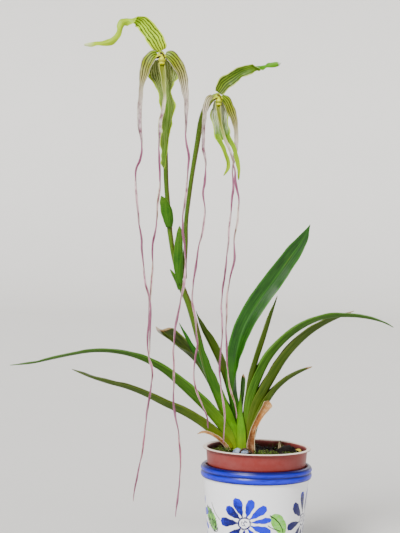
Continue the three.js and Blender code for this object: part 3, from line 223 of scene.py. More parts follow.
# Ribbon petals and lips: stations x, y, z, width, turn, fold
PETALS = {
    "flower_a_left_petal": (
        (-98.6, -36, 458.9, 6, -10, 8), (-102.4, -37.2, 457.4, 11, -16, 14),
        (-106.4, -38.6, 451.4, 12, -20, 18), (-108.7, -39.4, 444, 11, -20, 22),
        (-110.2, -40, 436.6, 8.4, -16, 28), (-112, -40.6, 427.6, 4.6, -8, 36),
        (-112.6, -41, 417, 4.2, 10, 24), (-113.2, -42, 405, 4.6, 10, 20), (-113, -43, 392, 4.6, 0, 20),
        (-111, -43.6, 377, 4, 20, 30), (-111.4, -43, 366, 3.2, 70, 36), (-114.6, -41.6, 354, 3.4, 120, 36),
        (-114.2, -40, 336, 3.2, 170, 36), (-112.6, -38.6, 312, 3, 200, 36), (-110, -38, 296, 3, 250, 36),
        (-107, -38.4, 276, 3, 300, 36), (-104.4, -39.6, 255, 3, 340, 36), (-101.4, -41, 239, 3, 380, 36),
        (-101.4, -43, 213, 2.8, 430, 36), (-100.2, -44, 191, 2.8, 480, 36), (-97, -43.4, 178, 3, 540, 36),
        (-98.2, -41.6, 161, 3, 600, 36), (-100, -40, 144, 2.8, 640, 36), (-101.6, -38.6, 124, 2.8, 700, 36),
        (-104.6, -38, 103, 2.6, 750, 36), (-107.6, -39, 86, 2.4, 800, 36), (-111.4, -42, 58, 1.8, 880, 30),
    ),
    "flower_a_right_petal": (
        (-91.4, -36, 458.9, 6, 10, 8), (-87, -37.2, 457.4, 11, 16, 14), (-81.6, -38.6, 451, 12, 20, 18),
        (-77.4, -39.4, 443.4, 11, 20, 22), (-75.2, -40, 435.6, 9.4, 16, 24),
        (-73.3, -40.6, 427.4, 7.6, 10, 30), (-71.6, -41, 417, 5, 0, 38), (-72.2, -42, 400, 4, 30, 38),
        (-71.4, -43, 380, 3.6, 50, 36), (-68.2, -43.6, 368, 3.2, 90, 36), (-68.8, -43, 350, 3, 140, 36),
        (-70, -41.6, 335, 3, 180, 36), (-73, -40, 317, 3, 220, 36), (-72.6, -39, 302, 3, 260, 36),
        (-69.6, -38.6, 286, 3, 300, 36), (-69, -39.4, 262, 3, 340, 36), (-72, -41, 247, 3, 380, 36),
        (-75, -42.6, 230, 3, 440, 36), (-77, -43.6, 209, 2.8, 480, 36), (-77.4, -43, 188, 2.8, 520, 36),
        (-77.8, -41, 163, 2.8, 560, 36), (-77, -39.6, 145, 2.8, 600, 36), (-72.4, -38.8, 124, 2.8, 660, 36),
        (-70, -39.6, 103, 2.6, 700, 36), (-70.4, -41, 84, 2.6, 740, 36), (-71.6, -42.4, 62, 2.2, 780, 36),
        (-73, -43, 45, 1.6, 820, 30),
    ),
    "flower_a_lip": (
        (-94.6, -35.8, 455, 4.4, 0, 10), (-94.3, -38, 449.6, 6.4, 0, 20), (-93.4, -42, 443, 6.4, 0, 30),
        (-92.2, -45, 433, 4.6, 0, 40), (-91.2, -46, 420, 3.6, 10, 40), (-92.2, -46.6, 408, 3.8, 0, 36),
        (-94.2, -47, 394, 3.6, -20, 36), (-95.4, -47, 380, 3.4, 20, 36), (-95, -47, 366, 3.2, 60, 36),
        (-93.2, -46, 352, 3, 110, 36), (-93.2, -45.4, 338, 3, 160, 36), (-95.4, -45.6, 324, 3, 200, 36),
        (-96.4, -46.6, 304, 3, 250, 36), (-98.4, -47.4, 288, 2.8, 300, 36), (-97.6, -48, 265, 2.8, 350, 36),
        (-100, -48.2, 250, 2.8, 400, 36), (-99.4, -48.6, 230, 2.6, 450, 36),
        (-98.8, -49, 212, 2.4, 500, 36), (-99.6, -49.6, 191, 1.8, 540, 30),
    ),
    "flower_b_left_petal": (
        (-48.3, -32.4, 422.7, 4.2, -20, 10), (-51.2, -33.2, 420, 8, -34, 30),
        (-53.4, -34.4, 412, 7.6, -34, 44), (-55, -35.4, 401, 4.6, -20, 44), (-55.8, -36, 389, 3.8, 0, 40),
        (-56, -36, 376, 3.6, 20, 38), (-53.6, -36.6, 362, 3.2, 60, 36), (-54, -37.4, 347, 3, 110, 36),
        (-54.6, -38, 336, 3, 140, 36), (-52.4, -38.4, 320, 3, 180, 36), (-54.4, -38, 304, 3, 220, 36),
        (-58, -37, 289, 2.8, 270, 36), (-60, -35.4, 268, 2.8, 310, 36), (-62, -34, 246, 2.8, 360, 36),
        (-59.6, -33.4, 220, 2.8, 420, 36), (-57.6, -34, 202, 2.8, 460, 36), (-58.4, -35, 187, 2.6, 500, 36),
        (-59.2, -36, 173, 2.6, 540, 36), (-56.4, -37.4, 157, 2.4, 580, 36), (-52, -38.4, 146, 2.4, 620, 36),
        (-47.4, -39, 136, 2.2, 660, 36), (-45.4, -39.4, 125, 1.6, 700, 30),
    ),
    "flower_b_right_petal": (
        (-40.4, -32.4, 423.2, 5, 14, 8), (-36.2, -32, 419, 9, 20, 14), (-32.6, -31, 411.5, 10, 20, 18),
        (-29.2, -30, 403.5, 7.4, 10, 26), (-26.8, -29, 394, 4.8, 0, 36), (-26.2, -28.6, 380, 4.6, 0, 36),
        (-29.4, -29.4, 359, 3.2, 50, 36), (-28.4, -31, 344, 3, 90, 36), (-28.6, -32.4, 326, 3, 140, 36),
        (-30.4, -34, 306, 3, 190, 36), (-32.2, -35, 286, 2.8, 230, 36), (-34, -35, 262, 2.8, 280, 36),
        (-35.4, -34, 242, 2.8, 330, 36), (-35.4, -32.6, 222, 2.8, 370, 36),
        (-35.4, -31.4, 205, 2.6, 410, 36), (-36.4, -31, 180, 2.6, 460, 36), (-34, -32, 160, 2.6, 510, 36),
        (-31.4, -33.6, 137, 2.4, 560, 36), (-31.8, -35, 111.4, 1.6, 600, 30),
    ),
    "flower_b_lip": (
        (-43.6, -32, 419.7, 4, 0, 10), (-43.2, -34.6, 414.6, 5.6, 0, 24), (-42.4, -37.4, 408, 5, 0, 34),
        (-40.8, -38.4, 398, 3.8, 0, 40), (-37, -38.8, 385, 3.4, 10, 38), (-31.6, -39, 372, 3.2, 40, 36),
        (-27.6, -39, 358, 3, 90, 36), (-27, -39.4, 348, 3, 120, 36), (-22.4, -40, 332, 3, 170, 36),
        (-23, -40.6, 314, 3, 220, 36), (-26.6, -41.4, 298, 2.8, 270, 36), (-26, -42, 276, 2.8, 320, 36),
        (-29.8, -41.6, 254, 2.8, 370, 36), (-31.4, -40.6, 236, 2.8, 410, 36),
        (-32, -39.4, 216, 2.6, 450, 36), (-30.4, -38.6, 194, 2.6, 500, 36), (-29, -38.6, 178, 2.6, 540, 36),
        (-25.8, -39.6, 159, 2.4, 580, 36), (-22, -41, 146, 2.2, 620, 36), (-20, -42, 135, 1.6, 650, 30),
    ),
}

# Dorsal sepals: stations x, y, z, width, turn, fold
DORSAL_SEPALS = {
    "flower_a_dorsal_sepal": (
        (-95, -33, 462, 9, 0, 10), (-96.6, -33, 465, 13, 0, 16), (-100.8, -32.4, 473, 17, 0, 22),
        (-107, -31.6, 480.4, 16, 6, 24), (-112.2, -31.6, 487.4, 13.8, 14, 26),
        (-117.6, -32.4, 490.6, 12.4, 40, 44), (-122, -33.4, 490, 11.8, 90, 62),
        (-127, -34.6, 489.2, 10.4, 150, 46), (-130.6, -35.8, 486, 8, 190, 28),
        (-131.4, -36.6, 480.4, 5, 225, 20), (-134.2, -37.4, 474, 6.4, 190, 22),
        (-140.6, -38, 469, 6, 175, 24), (-147.6, -38.4, 467, 5, 170, 30),
        (-155.6, -38.6, 466.2, 5, 170, 30), (-164, -38.6, 465.6, 2.6, 170, 20),
    ),
    "flower_b_dorsal_sepal": (
        (-43.4, -29, 426.3, 8, 0, 10), (-41.6, -29, 429, 11, 0, 14), (-37.4, -28.6, 435, 13, 0, 18),
        (-30, -28, 440.6, 12.4, -4, 22), (-23.4, -27.6, 445.2, 10.4, -6, 22),
        (-17, -27.6, 447.8, 9.6, -8, 20), (-12.4, -28, 449.4, 9.8, -20, 30),
        (-8.4, -28.6, 450.6, 9.4, -60, 52), (-3.6, -29, 451.2, 8, -125, 50), (2, -29, 452, 5.6, -165, 18),
        (7, -29, 452.8, 5, -176, 20), (12.4, -29, 454.4, 3.6, -180, 18),
    ),
}

# Flower stem and flower stalks: stations x, y, z, radius
SCAPE = (
    (-19.5, 9.4, LEAF_FOOT + 0.4, 2.6), (-20, 9.4, 104, 2.7), (-23, 9.4, 114, 2.8), (-30, 9.2, 129, 2.8),
    (-38.6, 7.6, 150, 2.8), (-47.6, 5, 172, 2.9), (-55.4, 1.6, 200, 3), (-61.6, -2.6, 222, 3.1),
    (-67, -5.6, 238, 3), (-72, -8, 249, 2.9), (-76, -9, 262, 2.3), (-80.6, -10, 279, 2.2),
    (-84.5, -11.26, 301.2, 2.4),
)
PEDICEL_A = (
    (-84.5, -11.24, 300.55, 2.3), (-85.4, -12.2, 314, 2.2), (-87.2, -13.6, 330, 2.2),
    (-88.6, -15, 345, 2.2), (-89.6, -16.4, 365, 2.3), (-90.8, -18, 395, 2.5), (-91.8, -18.8, 425, 2.9),
    (-92.8, -19.6, 442, 3), (-94.2, -23, 454, 2.9), (-95, -28.4, 458.2, 2.9), (-95, -33, 458.5, 3),
    (-95, -38, 458.5, 3),
)
PEDICEL_B = (
    (-69.8, -9.6, 258, 1.8), (-70.2, -10.4, 272, 2), (-69.6, -11.2, 290, 2), (-69.8, -12, 310, 2),
    (-68, -12.8, 329, 2), (-65.4, -13.6, 352, 2.1), (-61.4, -14.4, 380, 2.3), (-58, -15.2, 402, 2.6),
    (-54, -16.2, 414, 2.7), (-49.4, -18.6, 421, 2.7), (-45.6, -22.6, 423.4, 2.7), (-44, -27, 423.2, 2.7),
    (-44, -34, 423, 2.8),
)

# Middles of the tufts of moss, and dead roots with stations x, y, z, radius
MOSS_TUFTS = ((2, -19), (8, -18), (13, -20), (6, -24), (-34, -10), (-30, -14), (30, -16), (-6, 34), (24, 24))
ROOTS = (
    (
        (-16.5, -21, 99.6, 0.7), (-15, -21.6, 103.4, 0.8), (-11, -21.8, 104.9, 0.75),
        (-6.6, -21.6, 102.8, 0.7), (-3.4, -21, 98.4, 0.6),
    ),
    ((-38, -12, 97.6, 0.5), (-35.4, -15, 101.6, 0.6), (-32, -18, 101, 0.55), (-29, -21, 98, 0.5)),
)

# Fused lower sepals: stations x, y, z, width, turn, fold
SYNSEPAL_A = (
    (-95, -33.2, 454.8, 17, 0, 10), (-94.6, -31.4, 452, 27, 0, 16), (-93.6, -29.4, 448, 31.5, 0, 22),
    (-92.4, -28.2, 442, 32, 0, 26), (-92.2, -28.6, 437, 30, 0, 28), (-92, -30.6, 431, 20, 0, 30),
    (-90.6, -33.2, 423, 13, 0, 30), (-88.4, -34.6, 413, 15, 0, 24), (-88.6, -34.2, 400, 11, 0, 30),
    (-89.4, -33.8, 388, 9.4, -10, 34), (-90, -33.4, 376, 8.4, -16, 36), (-90.6, -33, 364, 5, -10, 34),
    (-90.8, -33, 357, 2, 0, 20),
)
SYNSEPAL_B = (
    (-43.6, -29, 419.7, 6, 0, 8), (-42.8, -28.6, 416, 11, 0, 10), (-42, -29, 410.4, 15, 0, 12),
    (-42, -30.4, 404.6, 17, 0, 12), (-40.4, -31.6, 397.6, 14, 0, 12), (-39, -32.4, 389, 15.6, 0, 12),
    (-37.4, -32.8, 384, 13, 0, 12),
)
SYNSEPAL_B_TAILS = (
    (
        (-43.4, -33, 389, 4.4, 0, 16), (-42.4, -33.4, 385, 4.6, 0, 20), (-38.2, -34, 377.4, 4.4, 0, 26),
        (-35, -34.2, 370, 4.2, 10, 26), (-33.2, -34.2, 362.6, 3.8, 20, 26), (-34.4, -34, 356, 3, 20, 20),
        (-37, -33.6, 351.6, 1.8, 10, 10),
    ),
    (
        (-34.2, -33, 389, 4.4, 0, 16), (-33, -33.4, 385, 4.6, 0, 20), (-29, -34, 378, 4.6, 0, 26),
        (-25.8, -34.2, 370, 4.4, -10, 26), (-23.8, -34.2, 361, 4, -20, 26), (-23.2, -34, 348, 2, -20, 10),
    ),
)


def linear(code):
    """An sRGB hex colour as linear RGBA"""
    channels = [int(code[at : at + 2], 16) / 255 for at in (1, 3, 5)]
    return tuple(c / 12.92 if c <= 0.04045 else ((c + 0.055) / 1.055) ** 2.4 for c in channels) + (1.0,)


def smooth(value):
    value = min(max(value, 0), 1)
    return value * value * (3 - 2 * value)


def mix(start, end, share):
    return start + (end - start) * share


# Materials


# Which setting the second word of a kind is, for nodes without an operation
MODES = {"Mix": "data_type", "MapRange": "interpolation_type", "Mapping": "vector_type"}


def add_node(tree, kind, *inputs, stops=None, **settings):
    """Adds a shader node. Its kind is a type with its mode after a space, or a Math operation. Its inputs
    are numbers, sRGB hex colours, sockets or nodes in the order of its sockets, and None leaves one as it
    is. A range takes a value, where it starts and ends, and what these give."""
    kind, _, mode = ("Math " + kind if kind.isupper() else kind).partition(" ")
    made = tree.nodes.new("ShaderNode" + kind)
    if mode:
        settings[MODES.get(kind, "operation")] = mode
    for key, value in settings.items():
        setattr(made, key, value)
    if stops:
        elements = made.color_ramp.elements
        while len(elements) < len(stops):
            elements.new(1)
        for element, (position, code) in zip(elements, stops):
            element.position = position
            element.color = linear(code) if isinstance(code, str) else (code, code, code, 1)
    for socket, value in zip([socket for socket in made.inputs if socket.enabled], inputs):
        if isinstance(value, bpy.types.Node):
            value = next(s for s in value.outputs if s.enabled)
        if isinstance(value, bpy.types.NodeSocket):
            tree.links.new(value, socket)
        elif value is not None:
            socket.default_value = linear(value) if isinstance(value, str) else value
    return made


def surface(name, **constants):
    """A new material, a function that adds a node to it, and its coordinates. Constants are set on the
    Principled shader's own sockets."""
    material = bpy.data.materials.new(name)
    material.use_nodes = True
    shader = material.node_tree.nodes["Principled BSDF"]
    for key, value in constants.items():
        shader.inputs[key.replace("_", " ")].default_value = value
    add = functools.partial(add_node, material.node_tree)
    return material, add, add("TexCoord").outputs["Object"]


def connect(material, colour, roughness, height, depth):
    """Links a colour, a roughness and a relief of this depth in millimetres to a material's shader. The
    roughness is a node, or the figures of a range."""
    tree = material.node_tree
    if isinstance(roughness, tuple):
        roughness = add_node(tree, "MapRange", *roughness)
    bump = add_node(tree, "Bump", 1.0, depth * MM, None, height)
    for key, made in (("Base Color", colour), ("Roughness", roughness), ("Normal", bump)):
        tree.links.new(next(s for s in made.outputs if s.enabled), tree.nodes["Principled BSDF"].inputs[key])
    return material


def blade_surface(
    name, along, streak, veins=None, margin=None, rib=None, mottle=None, dry="#a08860",
    roughness=(0.4, 0.55), relief=0.1, reach=None, fade=None, **constants
):
    """A leaf's, sepal's or petal's skin, with its pattern laid along the blade by the attribute "place".

    along is the colour from base to tip, by share, or by millimetres of reach. streak is (lines across,
    colour, amount), veins is (count, colour, amount, share where they end), margin is (where it starts,
    colour, amount), rib is (half-width, colour, amount) and mottle is (size in millimetres, colour,
    amount). fade is where along the blade streaks and mottling start and where they have their full amount.
    """
    material, add, point = surface(name, **{"Specular_IOR_Level": 0.22, **constants})
    place = add("Attribute", attribute_name="place").outputs["Vector"]
    share, across, run = add("SeparateXYZ", place).outputs
    edge = add("ABSOLUTE", across)
    where = add("MULTIPLY", run, 1 / (reach * MM)) if reach else share
    colour = add("ValToRGB", where, stops=along)
    full = add("MapRange", where, *fade) if fade else 1.0

    # Patches a few millimetres wide, then parallel streaks: many across, each tens of millimetres long
    size, patch_tone, patchy = mottle or (14, along[0][1], 0.0)
    patches = add("TexNoise", point, 1 / (size * MM), 3.0, 0.6)
    lines, streak_tone, streaky = streak
    stretched = add("VectorMath MULTIPLY", place, (3.0, lines / 2, 45.0))
    streaks = add("TexNoise", stretched, 1.0, 2.0, 0.55)
    for field, low, high, amount, tone in (
        (patches, 0.42, 0.68, patchy, patch_tone), (streaks, 0.4, 0.65, streaky, streak_tone)
    ):
        shown = add("MULTIPLY", add("MapRange", field, low, high, 0, amount), full)
        colour = add("Mix RGBA", shown, colour, tone)
    height = streaks

    if veins:
        count, tone, amount, end = veins
        bent = add("ADD", across, add("MapRange", patches, 0, 1, -0.16, 0.16))
        wave = add("COSINE", add("MULTIPLY", bent, count * math.pi))
        line = add("MapRange SMOOTHSTEP", wave, -0.1, 0.75, 0, amount)
        line = add("MULTIPLY", line, add("MapRange", share, end * 0.4, end, 1.0, 0.0))
        colour = add("Mix RGBA", line, colour, tone)
        height = add("SUBTRACT", height, line)
    if rib:
        width, tone, amount = rib
        line = add("MapRange SMOOTHSTEP", edge, width, width * 0.4, 0, amount)
        colour = add("Mix RGBA", line, colour, tone)
        height = add("ADD", height, line)
    if margin:
        start, tone, amount = margin
        line = add("MapRange SMOOTHSTEP", edge, start, mix(start, 1, 0.7), 0, amount)
        colour = add("Mix RGBA", line, colour, tone)

    # Dead tissue at a tip, with a darker line where it meets the living blade
    frayed = add("ADD", streaks, add("Attribute", attribute_name="dry").outputs["Fac"])
    withered = add("ValToRGB", frayed, stops=[(0.7, "#642408"), (0.9, "#7c5430"), (1.0, dry)])
    colour = add("Mix RGBA", add("MapRange", frayed, 0.7, 0.85), colour, withered)
    return connect(material, colour, (patches, 0.3, 0.7, *roughness), height, relief)


# Shapes


def swing(*place):
    """Smooth noise at a place, from about -1 to 1"""
    return noise.noise(Vector(place))


class Route:
    """A centripetal Catmull-Rom curve through stations (x, y, z, values), with the values eased between
    stations"""

    SPLITS = 24

    def __init__(self, stations):
        points = [Vector(station[:3]) for station in stations]
        self.points = [2 * points[0] - points[1]] + points + [2 * points[-1] - points[-2]]
        self.values = [station[3:] for station in stations]
        self.spans = len(points) - 1
        count = self.spans * self.SPLITS
        walk = [self.point(step / count) for step in range(count + 1)]
        self.lengths = [0.0]
        for before, after in zip(walk, walk[1:]):
            self.lengths.append(self.lengths[-1] + (after - before).length)
        self.length = self.lengths[-1]

    def point(self, t):
        place = min(max(t, 0), 1) * self.spans
        index = min(int(place), self.spans - 1)
        t = place - index
        p0, p1, p2, p3 = self.points[index : index + 4]
        d0, d1, d2 = ((b - a).length ** 0.5 for a, b in ((p0, p1), (p1, p2), (p2, p3)))
        enter = ((p1 - p0) / d0 - (p2 - p0) / (d0 + d1) + (p2 - p1) / d1) * d1
        leave = ((p2 - p1) / d1 - (p3 - p1) / (d1 + d2) + (p3 - p2) / d2) * d1
        bend = 3 * (p2 - p1) - 2 * enter - leave
        return p1 + enter * t + bend * t * t + (2 * (p1 - p2) + enter + leave) * t**3

    def at(self, share):
        """The point, the direction and the values at this share of the length"""
        target = share * self.length
        index = min(bisect.bisect_right(self.lengths, target), len(self.lengths) - 1) - 1
        step = (target - self.lengths[index]) / (self.lengths[index + 1] - self.lengths[index])
        t = (index + step) / (len(self.lengths) - 1)
        along = (self.point(t + 1e-3) - self.point(t - 1e-3)).normalized()
        place = t * self.spans
        index = min(int(place), self.spans - 1)
        ease = smooth(place - index)
        values = [mix(a, b, ease) for a, b in zip(self.values[index], self.values[index + 1])]
        return self.point(t), along, values


def cross_directions(along, turn):
    """The two directions across a route: at turn 0 the face looks to -Y, at -90 a leaf leaning left opens
    upwards"""
    flat = Vector((0, 1, 0)).cross(along).normalized()
    front = flat.cross(along).normalized()
    angle = math.radians(turn)
    side = flat * math.cos(angle) + front * math.sin(angle)
    return side, front * math.cos(angle) - flat * math.sin(angle)


def trough(half, across, fold, sheath, gap, keel):
    """Where a point of a cross-section lies: out from the midrib and up from it. The section bends evenly
    near the midrib and is straight beyond. Where sheath is 1 it is a narrow U."""
    bend = min(mix(2 * half * keel, math.pi / 4 * gap, sheath), 0.9 * half)
    angle = math.radians(mix(fold, 90, sheath))
    distance = abs(across) * half
    if abs(angle) < 1e-3:
        return math.copysign(distance, across), 0
    radius = bend / angle
    bent = min(distance, bend) / radius
    out = radius * math.sin(bent) + max(distance - bend, 0) * math.cos(angle)
    rise = radius * (1 - math.cos(bent)) + max(distance - bend, 0) * math.sin(angle)
    return math.copysign(out, across), rise


def attributes(bm):
    """The blade's own attributes: place is share along, across from -1 to 1 and metres along; dry is dead
    tissue"""
    vectors, floats = bm.verts.layers.float_vector, bm.verts.layers.float
    place = vectors.get("place") or vectors.new("place")
    dry = floats.get("dry") or floats.new("dry")
    return place, dry, bm.verts.layers.deform.verify()


def blade(
    bm, stations, columns, step, gap=0, keel=KEEL_SHARE, tip=3, spin=0, dry=0, form=None, part=(0, 1),
    lead=0,
):
    """Bends a grid along a route into a keeled blade. spin twists it by so many degrees a millimetre past
    its broad foot, dry is the share of dead tip, form gives a point's own offset along, across and up, part
    is the stretch of its pattern that the blade shows and lead how many millimetres of its pattern come
    before its foot."""
    route = Route(stations)
    place, dead, weights = attributes(bm)
    rows = max(8, round(route.length / step))
    known = {}
    for vert in bmesh.ops.create_grid(bm, x_segments=rows, y_segments=columns, size=0.5)["verts"]:
        share, across = vert.co.x + 0.5, -2 * vert.co.y
        key = round(share, 5)
        if key not in known:
            known[key] = route.at(min(max(share, 0), 1))
        point, along, values = known[key]
        width, turn, fold, sheath = (list(values) + [0, 0])[:4]
        run = share * route.length
        rounded = min((route.length - run) / tip, 1) if tip else 1
        half = width / 2 * max(math.sqrt(max(1 - (1 - rounded) ** 2, 0)), LEAST_TIP)
        side, face = cross_directions(along, turn + spin * max(run - BROAD_FOOT - 10, 0))
        if spin:
            fold += (RIBBON_FOLD - fold) * smooth((run - BROAD_FOOT) / 50)
        out, rise = trough(half, across, fold, sheath, gap, keel)
        further, wider, higher = form(share, across, run, sheath) if form else (0, 0, 0)
        vert.co = (point + side * (out + wider) + face * (rise + higher) + along * further) * MM
        vert[place] = (mix(*part, share), across, (run + lead) * MM)
        vert[dead] = smooth((share - 1 + dry) / dry) if dry else 0
        vert[weights][0] = 1 - abs(across) ** 3
    return bm


def tube(bm, stations, sides, step, skin=None):
    """Rolls a grid into a closed tube along stations (x, y, z, radius)"""
    route = Route(stations)
    place, _, weights = attributes(bm)
    rows = max(4, round(route.length / step))
    grid = bmesh.ops.create_grid(bm, x_segments=rows, y_segments=sides, size=0.5)["verts"]
    known = {}
    normal = route.at(0)[1].orthogonal().normalized()
    for key in sorted({round(vert.co.x + 0.5, 5) for vert in grid}):
        point, along, values = route.at(min(max(key, 0), 1))
        normal = (normal - along * normal.dot(along)).normalized()
        known[key] = (point, normal.copy(), along.cross(normal), values[0])
    for vert in grid:
        key = round(vert.co.x + 0.5, 5)
        turn = 2 * math.pi * (vert.co.y + 0.5)
        point, normal, other, radius = known[key]
        swell = 1 + (skin(key, turn, key * route.length) if skin else 0)
        direction = normal * math.cos(turn) + other * math.sin(turn)
        vert.co = (point + direction * radius * swell) * MM
        vert[place] = (key, math.cos(turn), key * route.length * MM)
        vert[weights][0] = 1
    bmesh.ops.remove_doubles(bm, verts=grid, dist=1e-7)
    kept = [vert for vert in grid if vert.is_valid]
    rims = {edge for vert in kept for edge in vert.link_edges if edge.is_boundary}
    faces = bmesh.ops.holes_fill(bm, edges=list(rims), sides=0)["faces"]
    bmesh.ops.recalc_face_normals(
        bm, faces=list({face for vert in kept for face in vert.link_faces} | set(faces))
    )
    return bm


def spun(profile, steps):
    """A body of revolution about Z from (radius, height), with its seam and poles closed"""
    bm = bmesh.new()
    verts = [bm.verts.new((radius * MM, 0, height * MM)) for radius, height in profile]
    edges = [bm.edges.new(pair) for pair in zip(verts, verts[1:])]
    bmesh.ops.spin(
        bm, geom=verts + edges, cent=(0, 0, 0), axis=(0, 0, 1), angle=2 * math.pi, steps=steps,
        use_merge=True,
    )
    bmesh.ops.remove_doubles(bm, verts=bm.verts, dist=1e-6)
    bmesh.ops.recalc_face_normals(bm, faces=bm.faces)
    return bm


def placed(centre, axes, turns, size):
    """The matrix that gives a unit form its size, its turns in radians and its centre, in millimetres"""
    matrix = Matrix.Translation(Vector(centre) * MM)
    for axis, turn in zip(axes, turns):
        matrix = matrix @ Matrix.Rotation(turn, 4, axis)
    return matrix @ Matrix.Diagonal([value * MM for value in size]).to_4x4()


def lump(bm, centre, size, turn, unevenness, seed, grain=0.35):
    """An uneven rounded lump, from an icosphere whose points move in and out by noise"""
    made = bmesh.ops.create_icosphere(bm, subdivisions=4, radius=0.5)["verts"]
    for vert in made:
        swell = noise.fractal(vert.co / grain + Vector((seed, 0, seed)), 0.6, 2.0, 3)
        vert.co *= 1 + unevenness * swell
    bmesh.ops.transform(bm, matrix=placed(centre, "Z", (math.radians(turn),), size), verts=made)


def finished(name, bm):
    """The mesh of a finished bmesh"""
    mesh = bpy.data.meshes.new(name)
    bm.to_mesh(mesh)
    bm.free()
    return mesh


def baked(made, context):
    """Turns an object's modifiers into its own mesh"""
    mesh = bpy.data.meshes.new_from_object(made.evaluated_get(context.evaluated_depsgraph_get()))
    made.modifiers.clear()
    made.data = mesh


def piece(name, bm, slot, *materials, replaces=(), sharp=60, thickness=0, margin=0.4):
    """Makes the object of a finished mesh, on the one body, and hides the parts that it stands for; slot is
    not used. A blade gets its thickness, down to this share at its margins, is rounded, and has the second
    material on its back."""
    mesh = finished(name, bm)
    mesh.shade_smooth()
    mesh.set_sharp_from_angle(angle=math.radians(sharp))
    for material in materials:
        mesh.materials.append(material)
    made = bpy.data.objects.new(name, mesh)
    made.vertex_groups.new(name="body")
    bpy.context.scene.collection.objects.link(made)
    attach(made, "root")
    if replaces:
        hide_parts(*replaces)
    if thickness:
        wall = made.modifiers.new("Thickness", "SOLIDIFY")
        wall.thickness = thickness
        wall.offset = 0
        wall.vertex_group = "body"
        wall.thickness_vertex_group = margin
        wall.use_quality_normals = True
        wall.material_offset = len(materials) - 1
        rounding = made.modifiers.new("Rounding", "SUBSURF")
        rounding.levels = rounding.render_levels = 1
    return made


# Pots


def eased(profile, radius):
    """The profile with each inner corner cut back and rounded, and a ring beyond the rounding that keeps
    the long sides flat"""
    points = [Vector(point) for point in profile]
    made = [points[0]]
    for before, corner, after in zip(points, points[1:], points[2:]):
        back = min(radius, (before - corner).length / 3, (after - corner).length / 3)
        into, out = (before - corner).normalized() * back, (after - corner).normalized() * back
        made += [
            corner + into * 1.4, corner + into, corner + (into + out) / 4, corner + out, corner + out * 1.4
        ]
    return [tuple(point) for point in made + [points[-1]]]


def half_round(bottom, top, radius, count=12):
    return [(radius + math.sin(math.pi * i / count), mix(bottom, top, i / count)) for i in range(count + 1)]


# Painted daisies: petals of each, level of their middles, turn of the first, and radius of the wall there
DAISY_PETALS = 10
DAISY_LEVEL = 41
DAISY_TURN = math.radians(-14.4)
WALL_RADIUS = 45.7


